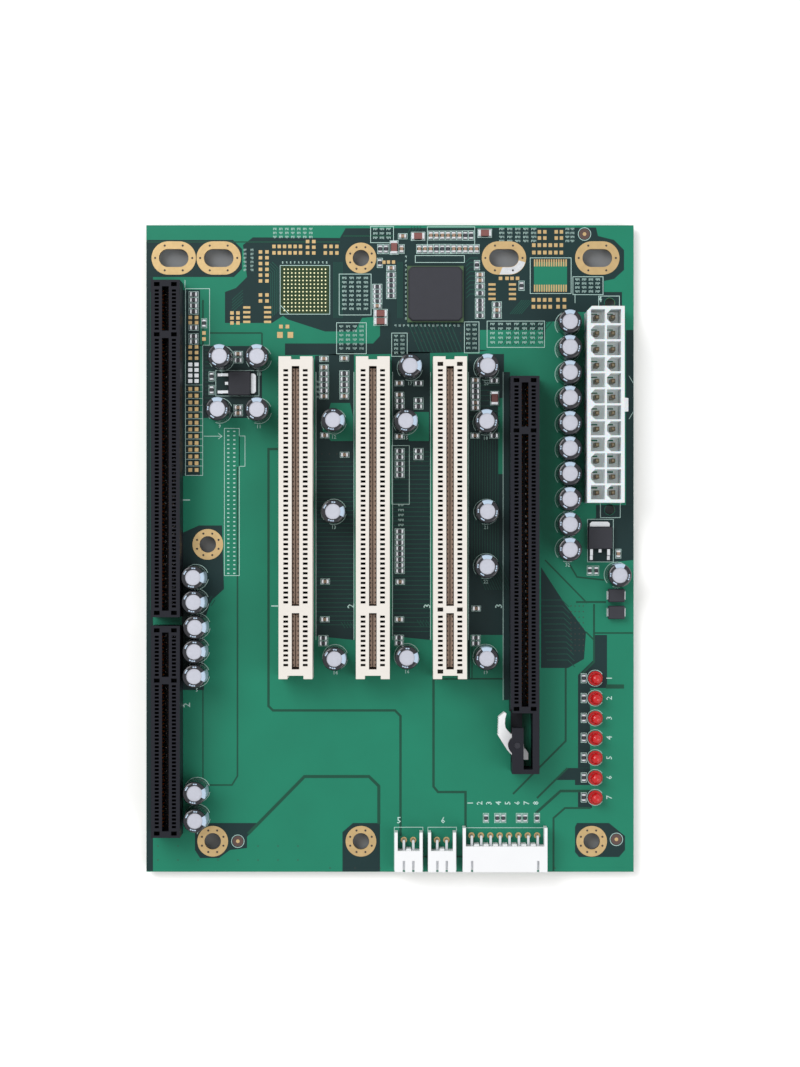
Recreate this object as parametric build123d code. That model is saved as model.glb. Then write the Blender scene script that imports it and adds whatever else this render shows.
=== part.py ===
from build123d import *
import os

os.makedirs("parts", exist_ok=True)

# Frame: Z = 0 is the plane that the locating pegs stand on, X runs to the right and Y to the back edge,
# from the middle of the board. All sizes are in millimetres.

# The bare board
board_width = 130.0
board_length = 172.5
board_thickness = 1.6
peg_reach = 1.9
tail_reach = 1.4
seat_gap = 0.1

# Mounting holes and their gold lands
round_hole_radius = 2.2
round_land_radius = 4.1
oval_hole_length = 7.9
oval_hole_width = 4.8
oval_land_length = 11.85
oval_land_width = 8.9
land_gap = 0.06
back_hole_inset = 8.75
front_hole_inset = 8.15
middle_hole_x = -7.75
left_hole_inset = 17.7
right_hole_inset = 11.2
side_hole_inset = 16.4
side_hole_y = 1.1
left_oval_inset = 7.3
left_oval_spacing = 12.0
right_oval_inset = 9.7
right_oval_spacing = 24.9
spare_hole_radius = 1.38
spare_hole_spacing = 55.1
spare_hole_offset = 1.9
plating = 0.05
plating_gap = 0.1

# White 5 V expansion slots
expansion_pitch = 20.32
expansion_middle_x = -4.48
expansion_y = 8.15
expansion_length = 84.84
expansion_width = 8.9
expansion_height = 11.3
expansion_slit = 2.0
expansion_contact_pitch = 1.27
expansion_positions = 62
expansion_key_after = 49
expansion_key_positions = 2
expansion_window_offset = 2.56
expansion_window_width = 1.28
expansion_window_length = 0.65
expansion_inner_tail = 1.3
back_notch_width = 2.4
back_notch_depth = 0.8
front_notch_width = 4.2
front_notch_depth = 0.9

# Black serial slots
serial_width = 7.6
serial_height = 11.25
serial_slit = 1.8
serial_contact_pitch = 1.0
serial_key_after = 11
serial_key_positions = 2
serial_long_positions = 84
serial_short_positions = 51
serial_end_margin = 2.85
serial_window_offset = 2.25
serial_window_width = 1.1
serial_window_length = 0.62
serial_inner_tail = 1.0
serial_pocket_width = 1.5
serial_pocket_length = 1.1
serial_pocket_depth = 6.0
host_slot_inset = 6.0
host_slot_back_gap = 15.55
host_slot_spacing = 2.3
graphics_slot_x = 35.54
graphics_slot_y = 1.1

# What every card slot shares
slit_floor = 2.6
slot_web = 1.6
slit_end_room = 1.15
key_bridge = 1.9
contact_width = 0.5
contact_thickness = 0.25
contact_room = 0.2
contact_knee = 2.6
tail_hole_radius = 0.5
peg_radius = 0.9
serial_peg_inset = 1.4
expansion_peg_inset = 2.0
peg_tip = 0.3
peg_clearance = 0.12

# Card latch at the end of the graphics slot
latch_frame_length = 16.0
latch_right_wall = 1.77
latch_channel = 2.42
latch_block_width = 3.0
latch_end_wall = 1.2
latch_low_wall_height = 2.5
latch_low_wall_length = 3.9
latch_pivot_from_slot = 8.5
latch_pivot_offset = 2.02
latch_boss_radius = 2.4
latch_pin_radius = 0.8
latch_running_gap = 0.05
latch_pin_gap = 0.05
latch_side_gap = 0.3
latch_lever_base = 3.2
latch_lever_height = 5.0
latch_sweep_room = 4.9
latch_tooth_depth = 0.3
latch_teeth = 7
latch_relief_width = 0.6
latch_relief_length = 0.95

# White power header, two rows of twelve
power_columns = 2
power_rows = 12
power_pitch = 4.2
power_cell = 3.7
power_cell_chamfer = 1.1
power_width = 9.8
power_length = 51.6
power_height = 12.8
power_floor = 3.4
power_inset = 8.3
power_y = 37.9
power_pin_size = 1.1
power_pin_height = 10.0
power_hole_radius = 0.95
power_corner = 1.2
power_core_slot_length = 2.3
power_core_slot_width = 0.5
power_latch_width = 3.5
power_latch_reach = 1.2
power_latch_height = 6.0

# White right-angle headers along the front edge
header_pitch = 2.5
header_side = 2.45
header_height = 6.0
header_wall = 0.8
header_back_wall = 1.4
header_pin_size = 0.64
header_pin_height = 3.1
header_pin_gap = 0.1
header_hole_radius = 0.55
header_leg_length = 4.9
header_front_inset = 0.6
header_groove_length = 3.0
header_rib = 0.5
tap_header_pins = 8
tap_header_x = 30.5
tap_header_length = 6.8
switch_header_pins = 2
power_button_x = 4.95
reset_button_x = 13.8
switch_header_length = 5.6
header_pin_setback = 2.3

# Radial capacitors
capacitor_radius = 3.1
capacitor_height = 11.0
capacitor_sleeve = 0.15
capacitor_shoulder = 0.45
capacitor_lip = 1.05
capacitor_stand_off = 0.2
capacitor_seal_height = 1.4
capacitor_seal_radius = 2.4
capacitor_fit_gap = 0.1
capacitor_lead_pitch = 2.5
capacitor_lead_radius = 0.25
lead_hole_radius = 0.45

# Indicator lamps
lamp_count = 7
lamp_pitch = 5.3
lamp_inset = 10.25
lamp_first_y = -34.6
lamp_radius = 1.5
lamp_flange_radius = 1.9
lamp_flange = 1.0
lamp_height = 4.6
lamp_lead_pitch = 2.54
lamp_lead_size = 0.45
lamp_resistor_gap = 3.05

# Bridge chip
chip_x = 12.1
chip_y = 67.8
chip_size = 15.0
chip_mould_size = 14.5
chip_corner = 1.0
chip_substrate = 0.56
chip_mould = 1.1
chip_ball_radius = 0.25
chip_ball_height = 0.4
chip_ball_pitch = 0.9
chip_ball_rows = 16
chip_ball_rings = 3

# Regulators
regulator_width = 6.5
regulator_length = 6.0
regulator_height = 2.3
regulator_tab_width = 5.3
regulator_tab_reach = 1.3
regulator_tab_thickness = 0.5
regulator_lead_width = 0.76
regulator_lead_spacing = 2.28
regulator_lead_reach = 2.9
regulator_stub_reach = 0.9
regulator_lead_level = 1.0
regulator_taper = 0.25

# Rectifiers
rectifier_length = 4.3
rectifier_width = 3.5
rectifier_height = 2.2
rectifier_terminal_width = 2.0
rectifier_terminal = 0.2
rectifier_foot = 1.1
rectifier_waist = 1.1
rectifier_spacing = 4.5

# Chip resistors and chip capacitors
chip_length = 1.6
chip_width = 0.8
resistor_height = 0.45
resistor_end = 0.3
small_capacitor_height = 0.8
small_capacitor_end = 0.35
large_chip_length = 3.2
large_chip_width = 1.6
large_chip_height = 1.3
large_chip_end = 0.5

# Places: capacitors with the stripe at the right, and with the stripe at the back
stripe_right_places = [
    (-51.8, -7.6), (-51.7, -14.1), (-51.3, -20.7), (-51.5, -27.1), (-51.5, -33.6),
    (-51.4, -64.4), (-51.3, -71.6), (-15.0, 33.9), (-15.0, 9.8), (-14.6, -29.0),
    (5.3, 48.2), (4.2, 33.7), (4.5, -28.7),
]
stripe_back_places = [
    (-44.9, 50.7), (-35.0, 50.7), (-45.4, 36.8), (-35.0, 36.7),
    (25.7, 48.2), (25.5, 33.6), (25.7, 9.8), (25.6, -4.7), (25.5, -28.9), (60.5, -7.0),
]
capacitor_column_x = 47.4
capacitor_column_y = 59.8
capacitor_column_pitch = 6.67
capacitor_column_count = 10

# Places of chips in columns: x, first y, how many, step down the column
resistors_across = [
    (-52.4, 67.8, 4, 1.53), (-52.4, 58.9, 1, 0), (-52.4, 56.6, 2, 1.4), (-40.5, 50.2, 1, 0),
    (-17.6, 46.6, 4, 1.5), (-12.2, 46.7, 4, 1.5), (7.6, 44.1, 1, 0), (2.6, 39.4, 2, 1.5),
    (7.6, 39.5, 2, 1.6), (2.6, 26.0, 2, 1.6), (7.6, 26.0, 2, 1.6), (2.6, 22.6, 3, 1.5),
    (2.6, 4.6, 8, 1.51), (22.8, 43.4, 3, 1.45), (27.8, 44.8, 1, 0), (-17.8, -23.9, 2, 1.4),
    (2.4, -23.8, 2, 1.4), (22.9, -23.8, 2, 1.5), (0.3, 73.0, 5, 1.4), (24.0, 69.9, 2, 1.8),
    (24.0, 66.1, 3, 1.15), (24.0, 62.1, 1, 0), (28.5, 65.1, 1, 0), (28.5, 62.1, 1, 0),
    (-3.4, 69.8, 4, 1.25), (27.8, 30.1, 1, 0),
]
capacitors_across = [
    (-40.5, 51.9, 1, 0), (-40.5, 37.6, 2, 1.5), (-17.6, 50.6, 1, 0), (-17.6, 48.3, 1, 0),
    (-17.6, 40.6, 1, 0), (-12.2, 50.7, 1, 0), (-12.2, 40.6, 1, 0), (-17.4, 30.2, 1, 0),
    (-12.1, 25.0, 1, 0), (2.5, 44.1, 1, 0), (2.5, 41.0, 1, 0), (2.5, 29.9, 1, 0),
    (2.7, -8.9, 1, 0), (22.8, 44.9, 1, 0), (22.8, 38.9, 2, 1.4), (22.7, 30.1, 1, 0),
    (-17.3, -8.8, 1, 0), (-17.4, -18.9, 1, 0), (2.5, -18.9, 1, 0), (23.0, -16.0, 1, 0),
    (3.4, 83.3, 1, 0), (0.3, 74.8, 1, 0), (24.0, 73.0, 2, 1.5), (28.5, 63.6, 1, 0),
    (-3.4, 64.7, 1, 0),
]
# Places of chips in rows: first x, y, how many, step along the row
resistors_upright = [
    (-47.6, 45.9, 1, 0), (-47.6, 42.3, 1, 0), (-49.6, 60.1, 1, 0), (-2.6, 79.9, 2, 1.5),
    (-2.7, 76.2, 1, 0), (20.1, 83.5, 2, 1.53), (12.4, 79.9, 3, 1.53), (23.2, 75.6, 1, 0),
    (35.1, 70.1, 1, 0), (53.3, -5.9, 2, 1.7), (25.6, -71.9, 1, 0), (28.6, -71.9, 2, 1.6),
    (34.4, -71.9, 2, 1.6), (39.2, -71.9, 1, 0),
]
capacitors_upright = [
    (10.9, 83.5, 6, 1.53), (7.8, 79.9, 3, 1.53), (17.0, 79.9, 5, 1.53), (3.1, 79.9, 1, 0),
    (60.9, -1.4, 1, 0),
]
large_capacitors_across = [(7.5, 83.3, 1, 0), (25.3, 84.1, 1, 0), (-2.5, 62.7, 2, 2.1)]
large_capacitors_upright = [(1.1, 80.3, 1, 0), (27.9, 40.1, 1, 0)]

# Levels and edges worked out from the sizes above
underside = peg_reach
top = underside + board_thickness
seat = top + seat_gap
tail_end = underside - tail_reach
left = -board_width / 2
right = board_width / 2
front = -board_length / 2
back = board_length / 2
host_slot_x = left + host_slot_inset
power_x = right - power_inset
lamp_x = right - lamp_inset
header_front = front + header_front_inset


# Small helpers
def block(x0, x1, y0, y1, z0, z1):
    return Pos(x0, y0, z0) * Solid.make_box(x1 - x0, y1 - y0, z1 - z0)


def post(x, y, radius, z0, z1):
    return Pos(x, y, z0) * Solid.make_cylinder(radius, z1 - z0)


def slab(face, thickness):
    return Solid.extrude(face, Vector(0, 0, thickness))


def save(name, solids):
    export_step(Compound(list(solids)), f"parts/{name}.step", write_pcurves=False)


def spread(places, along_x):
    spots = []
    for x, y, count, step in places:
        for i in range(count):
            spots.append((x + i * step, y) if along_x else (x, y - i * step))
    return spots


def ribbon(points, thickness):
    # Outline of a bent strip: every point of its middle line is moved out to both sides of it.
    normals = []
    for (x0, y0), (x1, y1) in zip(points, points[1:]):
        along = Vector(x1 - x0, y1 - y0).normalized()
        normals.append(Vector(-along.Y, along.X))
    bends = [normals[0]]
    for a, b in zip(normals, normals[1:]):
        middle = (a + b).normalized()
        bends.append(middle / middle.dot(a))
    bends.append(normals[-1])
    half = thickness / 2
    one = [(x + n.X * half, y + n.Y * half) for (x, y), n in zip(points, bends)]
    other = [(x - n.X * half, y - n.Y * half) for (x, y), n in zip(points, bends)]
    return one + other[::-1]


def profile_across(points, y, width):
    # A shape drawn in X and Z, as thick as its width along Y and centred on y.
    wire = Wire.make_polygon([(x, y - width / 2, z) for x, z in points])
    return Solid.extrude(Face(wire), Vector(0, width, 0))


def profile_along(points, x, width):
    # A shape drawn in Y and Z, as thick as its width along X and centred on x.
    wire = Wire.make_polygon([(x - width / 2, y, z) for y, z in points])
    return Solid.extrude(Face(wire), Vector(width, 0, 0))


# Card slots: each is a dictionary of the sizes that its housing, contacts and holes share
def expansion_slot(number):
    pitch = expansion_contact_pitch
    first = expansion_y + pitch * (expansion_positions - 1) / 2
    rows = [first - i * pitch for i in range(expansion_positions)]
    key = range(expansion_key_after, expansion_key_after + expansion_key_positions)
    return dict(
        x=expansion_middle_x + (number - 2) * expansion_pitch,
        y=expansion_y, length=expansion_length, width=expansion_width, height=expansion_height,
        slit=expansion_slit, rows=[y for i, y in enumerate(rows) if i not in key],
        ends=(rows[0], rows[-1]),
        key=rows[expansion_key_after] - pitch * (expansion_key_positions - 1) / 2,
        window=(expansion_window_offset, expansion_window_width, expansion_window_length),
        inner_tail=expansion_inner_tail, pockets=number == 3,
        peg_inset=expansion_peg_inset,
    )


def serial_slot(x, back_end, positions):
    pitch = serial_contact_pitch
    first = back_end - serial_end_margin
    rows = [first - i * pitch for i in range(positions)]
    key = range(serial_key_after, serial_key_after + serial_key_positions)
    length = (positions - 1) * pitch + 2 * serial_end_margin
    return dict(
        x=x, y=back_end - length / 2, length=length, width=serial_width, height=serial_height,
        slit=serial_slit, rows=[y for i, y in enumerate(rows) if i not in key],
        ends=(rows[0], rows[-1]),
        key=rows[serial_key_after] - pitch * (serial_key_positions - 1) / 2,
        window=(serial_window_offset, serial_window_width, serial_window_length),
        inner_tail=serial_inner_tail, pockets=True,
        peg_inset=serial_peg_inset,
    )


expansion_slots = {number: expansion_slot(number) for number in (1, 2, 3)}
long_host = serial_slot(host_slot_x, back - host_slot_back_gap, serial_long_positions)
short_host_back = long_host["y"] - long_host["length"] / 2 - host_slot_spacing
short_host = serial_slot(host_slot_x, short_host_back, serial_short_positions)
graphics_length = (serial_long_positions - 1) * serial_contact_pitch + 2 * serial_end_margin
graphics = serial_slot(graphics_slot_x, graphics_slot_y + graphics_length / 2, serial_long_positions)
card_slots = [*expansion_slots.values(), long_host, short_host, graphics]


def tail_rows(slot):
    # The outer row stands just inside the outer edge of the windows.
    offset, across, length = slot["window"]
    return slot["inner_tail"], offset + across / 2 - contact_room - contact_thickness / 2


def slot_tails(slot):
    # Neighbouring contacts stand in an inner and an outer row of holes by turns, on both sides.
    spots = []
    for i, y in enumerate(slot["rows"]):
        for side in (-1, 1):
            spots.append((slot["x"] + side * tail_rows(slot)[i % 2], y))
    return spots


def slot_pegs(slot):
    reach = slot["length"] / 2 - slot["peg_inset"]
    return [(slot["x"], slot["y"] + side * reach) for side in (-1, 1)]


def contact_cavity(slot, side, y):
    # From the window in the top face, under the web into the slit, and open below for the contact.
    offset, across, length = slot["window"]
    inner = offset - across / 2
    outer = offset + across / 2
    low = seat - seat_gap
    high = seat + slot["height"]
    web = high - slot_web
    slit = slot["slit"] / 4
    shape = [
        (outer, low), (outer, high + seat_gap), (inner, high + seat_gap), (inner, web), (slit, web), (slit, low),
    ]
    return profile_across([(slot["x"] + side * x, z) for x, z in shape], y, length)


def slot_contact(slot, side, tail, y):
    # A straight tail, a beam that leans in to where it presses on the card, and a tip bent back.
    high = seat + slot["height"]
    touch = contact_thickness / 2 + slot["slit"] / 4
    tip = slot["slit"] / 2 + contact_thickness
    line = [
        (tail, tail_end), (tail, seat + contact_knee), (touch, high - 2 * slot_web),
        (tip, high - slot_web - contact_thickness),
    ]
    strip = [(slot["x"] + side * x, z) for x, z in ribbon(line, contact_thickness)]
    return profile_across(strip, y, contact_width)


def slot_contacts(slot):
    # One contact of each of the four kinds is drawn, and the others are copies along the slot.
    first = slot["rows"][0]
    kinds = {}
    for side in (-1, 1):
        for i in (0, 1):
            kinds[side, i] = slot_contact(slot, side, tail_rows(slot)[i], first)
    solids = []
    for i, y in enumerate(slot["rows"]):
        for side in (-1, 1):
            solids.append(Pos(0, y - first, 0) * kinds[side, i % 2])
    return solids


def slot_slits(slot):
    x = slot["x"]
    half = slot["slit"] / 2
    start = slot["ends"][0] + slit_end_room
    end = slot["ends"][1] - slit_end_room
    floor = seat + slit_floor
    high = seat + slot["height"] + seat_gap
    bridge = slot["key"]
    return [
        block(x - half, x + half, bridge + key_bridge / 2, start, floor, high),
        block(x - half, x + half, end, bridge - key_bridge / 2, floor, high),
    ]


def slot_pockets(slot):
    # Deeper moulding pockets past both ends of the rows and beside the key.
    start = slot["ends"][0] + slit_end_room + serial_pocket_length / 2
    end = slot["ends"][1] - slit_end_room - serial_pocket_length / 2
    high = seat + slot["height"]
    offset = slot["window"][0]
    cuts = []
    for y in (start, slot["key"], end):
        for side in (-1, 1):
            x = slot["x"] + side * offset
            cuts.append(block(x - serial_pocket_width / 2, x + serial_pocket_width / 2,
                              y - serial_pocket_length / 2, y + serial_pocket_length / 2,
                              high - serial_pocket_depth, high + seat_gap))
    return cuts


def locating_peg(x, y):
    shaft = post(x, y, peg_radius, peg_tip, seat + slit_floor / 2)
    tip = Pos(x, y, 0) * Solid.make_cone(peg_radius - peg_tip, peg_radius, peg_tip)
    return shaft.fuse(tip)


def slot_body(slot):
    half = slot["width"] / 2
    y0 = slot["y"] - slot["length"] / 2
    y1 = slot["y"] + slot["length"] / 2
    return block(slot["x"] - half, slot["x"] + half, y0, y1, seat, seat + slot["height"])


def slot_housing(slot, body=None, extra_cuts=()):
    cuts = slot_slits(slot)
    for y in slot["rows"]:
        cuts += [contact_cavity(slot, side, y) for side in (-1, 1)]
    if slot["pockets"]:
        cuts += slot_pockets(slot)
    housing = (body or slot_body(slot)).cut(*cuts, *extra_cuts)
    return housing.fuse(*[locating_peg(x, y) for x, y in slot_pegs(slot)])


def expansion_notches(slot):
    x = slot["x"]
    y0 = slot["y"] - slot["length"] / 2
    y1 = slot["y"] + slot["length"] / 2
    low = seat - seat_gap
    high = seat + slot["height"] + seat_gap
    back_half = back_notch_width / 2
    front_half = front_notch_width / 2
    return [
        block(x - back_half, x + back_half, y1 - back_notch_depth, y1 + seat_gap, low, high),
        block(x - front_half, x + front_half, y0 - seat_gap, y0 + front_notch_depth, low, high),
    ]


# Card latch
latch_slot_end = graphics["y"] - graphics["length"] / 2
latch_frame_end = latch_slot_end - latch_frame_length
latch_right = graphics["x"] + serial_width / 2
latch_block_right = latch_right - latch_right_wall - latch_channel
latch_block_left = latch_block_right - latch_block_width
latch_x = graphics["x"] - latch_pivot_offset
latch_y = latch_slot_end - latch_pivot_from_slot
lever_low = seat + latch_lever_base
lever_high = lever_low + latch_lever_height


def latch_frame_body():
    # The slot's body with the open frame that carries the latch, moulded in one piece with it.
    high = seat + serial_height
    block_back = latch_slot_end - latch_low_wall_length
    sweep_front = latch_y - latch_sweep_room
    overlap = latch_side_gap
    right_wall = block(latch_right - latch_right_wall, latch_right, latch_frame_end,
                       latch_slot_end + overlap, seat, high)
    end_wall = block(latch_block_left, latch_right, latch_frame_end,
                     latch_frame_end + latch_end_wall, seat, high)
    low_wall = block(latch_block_left, latch_block_right, block_back - overlap, latch_slot_end + overlap,
                     seat, seat + latch_low_wall_height)
    side_block = block(latch_block_left, latch_block_right, latch_frame_end, block_back, seat, high)
    boss = post(latch_x, latch_y, latch_boss_radius, seat, high)
    sweep = block(latch_x - 2 * latch_boss_radius, latch_block_right + overlap, sweep_front,
                  block_back + overlap, lever_low - latch_side_gap, lever_high + latch_side_gap)
    pin_hole = post(latch_x, latch_y, latch_pin_radius + latch_pin_gap, seat - seat_gap, high + seat_gap)
    channel = block(latch_block_right, latch_right - latch_right_wall, latch_frame_end + latch_end_wall,
                    latch_slot_end, seat - seat_gap, high + seat_gap)
    frame = side_block.fuse(boss).cut(sweep, pin_hole, channel)
    return slot_body(graphics).fuse(right_wall, end_wall, low_wall, frame)


def latch_relief():
    x0 = graphics["x"] - serial_width / 2
    return block(x0 - seat_gap, x0 + latch_relief_width, latch_slot_end - seat_gap,
                 latch_slot_end + latch_relief_length, lever_low - latch_side_gap, seat + serial_height + seat_gap)


def latch_lever():
    # Outline from the pivot: the handle at the left, the hub, and the hook that holds the card.
    handle_tip = (-3.3, 8.6)
    handle_shoulder = (-4.96, 7.24)
    handle_foot = (-5.1, 2.67)
    heel = [(-2.53, -1.42), (-1.2, -2.9)]
    hook = [(1.0, -3.93), (2.98, -3.93), (2.98, -2.2), (2.4, -1.21), (1.9, -1.0)]
    hub = [(1.7, 1.2), (0.0, 2.1)]
    inner_side = [(-1.74, 2.96), (-2.96, 4.39), (-3.17, 5.52), (-3.09, 6.95), (-2.75, 8.2)]
    grip = []
    for i in range(latch_teeth):
        share = i / latch_teeth
        half_step = (i + 0.5) / latch_teeth
        step_x = handle_foot[0] - handle_shoulder[0]
        step_y = handle_foot[1] - handle_shoulder[1]
        grip.append((handle_shoulder[0] + share * step_x, handle_shoulder[1] + share * step_y))
        grip.append((handle_shoulder[0] + half_step * step_x + latch_tooth_depth,
                     handle_shoulder[1] + half_step * step_y))
    outline = [handle_tip, *grip, handle_foot, *heel, *hook, *hub, *inner_side]
    wire = Wire.make_polygon([(latch_x + x, latch_y + y, lever_low) for x, y in outline])
    lever = slab(Face(wire), latch_lever_height)
    bore = post(latch_x, latch_y, latch_pin_radius + latch_running_gap,
                lever_low - seat_gap, lever_high + seat_gap)
    return lever.cut(bore)


def latch_pin():
    return post(latch_x, latch_y, latch_pin_radius, seat, seat + serial_height)


# Power header
def power_cells():
    spots = []
    for row in range(power_rows):
        y = power_y + power_pitch * ((power_rows - 1) / 2 - row)
        for column in range(power_columns):
            x = power_x + power_pitch * (column - (power_columns - 1) / 2)
            # The keyed cells come in pairs, and the two columns are one row out of step.
            keyed = (row + 1) % 4 in (2, 3) if column == 0 else (row + 1) % 4 in (0, 1)
            spots.append((x, y, keyed))
    return spots


def power_cavity(x, y, keyed):
    half = power_cell / 2
    cut = power_cell_chamfer
    corners = [(half, -half), (half, half)]
    if keyed:
        corners += [(-half + cut, half), (-half, half - cut), (-half, cut - half), (cut - half, -half)]
    else:
        corners += [(-half, half), (-half, -half)]
    wire = Wire.make_polygon([(x + dx, y + dy, seat + power_floor) for dx, dy in corners])
    return slab(Face(wire), power_height)


def power_housing():
    half = power_width / 2
    y0 = power_y - power_length / 2
    y1 = power_y + power_length / 2
    high = seat + power_height
    corners = [
        (power_x - half, y0), (power_x + half, y0), (power_x + half, y1),
        (power_x - half + power_corner, y1), (power_x - half, y1 - power_corner),
    ]
    body = slab(Face(Wire.make_polygon([(x, y, seat) for x, y in corners])), power_height)
    ramp = [
        (power_x + half - seat_gap, high - power_latch_height), (power_x + half, high - power_latch_height),
        (power_x + half + power_latch_reach, high - 0.6 * power_latch_height),
        (power_x + half + power_latch_reach, high - 0.5 * power_latch_height),
        (power_x + half, high), (power_x + half - seat_gap, high),
    ]
    latch = profile_across(ramp, power_y, power_latch_width)
    cuts = []
    room = power_pin_size / 2 + seat_gap
    low = seat - seat_gap
    floor = seat + power_floor + seat_gap
    half_slot = power_core_slot_width / 2
    for x, y, keyed in power_cells():
        cuts.append(power_cavity(x, y, keyed))
        cuts.append(block(x - room, x + room, y - room, y + room, low, floor))
        core_x = x - power_cell / 2 + half_slot
        core_y = y + power_cell / 2 - power_core_slot_width
        cuts.append(block(core_x, core_x + power_core_slot_length, core_y - half_slot, core_y + half_slot,
                          low, floor))
    return body.fuse(latch).cut(*cuts)


def power_pins():
    half = power_pin_size / 2
    solids = []
    for x, y, keyed in power_cells():
        pin = block(x - half, x + half, y - half, y + half, tail_end, seat + power_pin_height)
        solids.append(chamfer(pin.faces().sort_by(Axis.Z)[-1].edges(), half / 2))
    return solids


# Right-angle headers
def header_pin_places(x, pins):
    return [x + header_pitch * (i - (pins - 1) / 2) for i in range(pins)]


def header_hole_y(length):
    return header_front + length + header_pin_setback


def header_housing(x, pins, length):
    half = header_pitch * (pins - 1) / 2 + header_side
    y_back = header_front + length
    high = seat + header_height
    body = block(x - half, x + half, header_front, y_back, seat, high)
    legs = [
        block(x - half, x - half + header_wall, y_back - header_wall, y_back + header_leg_length, seat, high),
        block(x + half - header_wall, x + half, y_back - header_wall, y_back + header_leg_length, seat, high),
    ]
    mouth = block(x - half + header_wall, x + half - header_wall, header_front - seat_gap,
                  y_back - header_back_wall, seat + header_wall, high - header_wall)
    places = header_pin_places(x, pins)
    cuts = [mouth]
    for groove in (places[0], places[-1]):
        cuts.append(block(groove - header_pin_size / 2, groove + header_pin_size / 2, header_front - seat_gap,
                          header_front + header_groove_length, high - 1.5 * header_wall, high + seat_gap))
    room = header_pin_size / 2 + header_pin_gap
    level = seat + header_pin_height
    for place in places:
        cuts.append(block(place - room, place + room, header_front, y_back + seat_gap + header_rib,
                          level - room, level + room))
    ribs = []
    for first, second in zip(places, places[1:]):
        quarter = header_pitch / 4
        ribs.append(block(first + quarter, second - quarter, y_back - seat_gap, y_back + header_rib,
                          seat, high - header_wall))
    return body.fuse(*legs, *ribs).cut(*cuts)


def header_pins(x, pins, length):
    level = seat + header_pin_height
    hole_y = header_hole_y(length)
    line = [(header_front + header_wall, level), (hole_y, level), (hole_y, tail_end)]
    shape = ribbon(line, header_pin_size)
    return [profile_along(shape, place, header_pin_size) for place in header_pin_places(x, pins)]


headers = {
    "voltage_tap_header": (tap_header_x, tap_header_pins, tap_header_length),
    "power_button_header": (power_button_x, switch_header_pins, switch_header_length),
    "reset_button_header": (reset_button_x, switch_header_pins, switch_header_length),
}


# Radial capacitors
def capacitor_places():
    column = [(capacitor_column_x, capacitor_column_y - i * capacitor_column_pitch)
              for i in range(capacitor_column_count)]
    return [(x, y, 0) for x, y in stripe_right_places] + [(x, y, 90) for x, y in stripe_back_places + column]


def turned(profile):
    # A closed outline in radius and height, spun about the Z axis.
    wire = Wire.make_polygon([(r, 0, z) for r, z in profile])
    return Solid.revolve(Face(wire), 360, Axis.Z)


def capacitor_sleeve_solid():
    # A thin plastic tube that is shrunk round both edges of the can.
    low = top + capacitor_stand_off
    high = low + capacitor_height
    r = capacitor_radius
    wall = capacitor_sleeve
    edge = capacitor_shoulder
    lip = capacitor_lip
    return turned([
        (r - edge, low), (r - wall, low), (r, low + wall), (r, high - edge), (r - wall, high - wall),
        (r - edge, high), (r - lip, high), (r - lip, high - wall), (r - edge, high - wall),
        (r - 1.7 * wall, high - 1.9 * wall), (r - wall, high - edge), (r - wall, low + wall),
        (r - edge, low + wall),
    ])


def capacitor_can_solid():
    # A drawn aluminium can, sealed, with a rolled groove above the seal.
    low = top + capacitor_stand_off + capacitor_sleeve + capacitor_fit_gap
    high = top + capacitor_stand_off + capacitor_height - capacitor_sleeve
    r = capacitor_radius - capacitor_sleeve - capacitor_fit_gap
    seal = low + capacitor_seal_height
    bore = capacitor_seal_radius + capacitor_fit_gap
    groove = capacitor_sleeve * 2
    return turned([
        (0, seal), (bore, seal), (bore, low), (r, low), (r, seal), (r - groove, seal + groove),
        (r, seal + 2 * groove), (r, high - capacitor_shoulder),
        (r - capacitor_shoulder, high - capacitor_fit_gap),
        (0, high - capacitor_fit_gap),
    ])


def capacitor_seal_solid():
    low = top + capacitor_stand_off
    high = low + capacitor_seal_height
    seal = post(0, 0, capacitor_seal_radius, low, high)
    bore = capacitor_lead_radius + capacitor_fit_gap
    reach = capacitor_lead_pitch / 2
    return seal.cut(*[post(side * reach, 0, bore, low - seat_gap, high + seat_gap) for side in (-1, 1)])


def capacitor_lead_solids():
    high = top + capacitor_stand_off + capacitor_seal_height
    reach = capacitor_lead_pitch / 2
    return [post(side * reach, 0, capacitor_lead_radius, tail_end, high) for side in (-1, 1)]


def at_capacitors(solids):
    placed = []
    for x, y, turn in capacitor_places():
        placed += [Pos(x, y, 0) * Rot(0, 0, turn) * solid for solid in solids]
    return placed


def capacitor_lead_holes():
    spots = []
    for x, y, turn in capacitor_places():
        for side in (-1, 1):
            spot = Vector(side * capacitor_lead_pitch / 2, 0).rotate(Axis.Z, turn)
            spots.append((x + spot.X, y + spot.Y))
    return spots


# Indicator lamps
lamp_rows = [lamp_first_y - i * lamp_pitch for i in range(lamp_count)]


def lamp_lens():
    shoulder = seat + lamp_height - lamp_radius
    flange = post(0, 0, lamp_flange_radius, seat, seat + lamp_flange)
    shaft = post(0, 0, lamp_radius, seat, shoulder)
    dome = Pos(0, 0, shoulder) * Solid.make_sphere(lamp_radius, angle1=0, angle2=90)
    pockets = [lamp_lead(side, seat_gap / 2, seat - seat_gap) for side in (-1, 1)]
    return flange.fuse(shaft, dome).cut(*pockets)


def lamp_lead(side, room, low):
    half = lamp_lead_size / 2 + room
    y = side * lamp_lead_pitch / 2
    return block(-half, half, y - half, y + half, low, seat + lamp_flange / 2 + room)


def lamp_leads():
    return [lamp_lead(side, 0, tail_end) for side in (-1, 1)]


def at_lamps(solids):
    return [Pos(lamp_x, y, 0) * solid for y in lamp_rows for solid in solids]


def lamp_lead_holes():
    return [(lamp_x, y + side * lamp_lead_pitch / 2) for y in lamp_rows for side in (-1, 1)]


# Bridge chip on its solder balls
chip_low = seat + chip_ball_height


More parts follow.
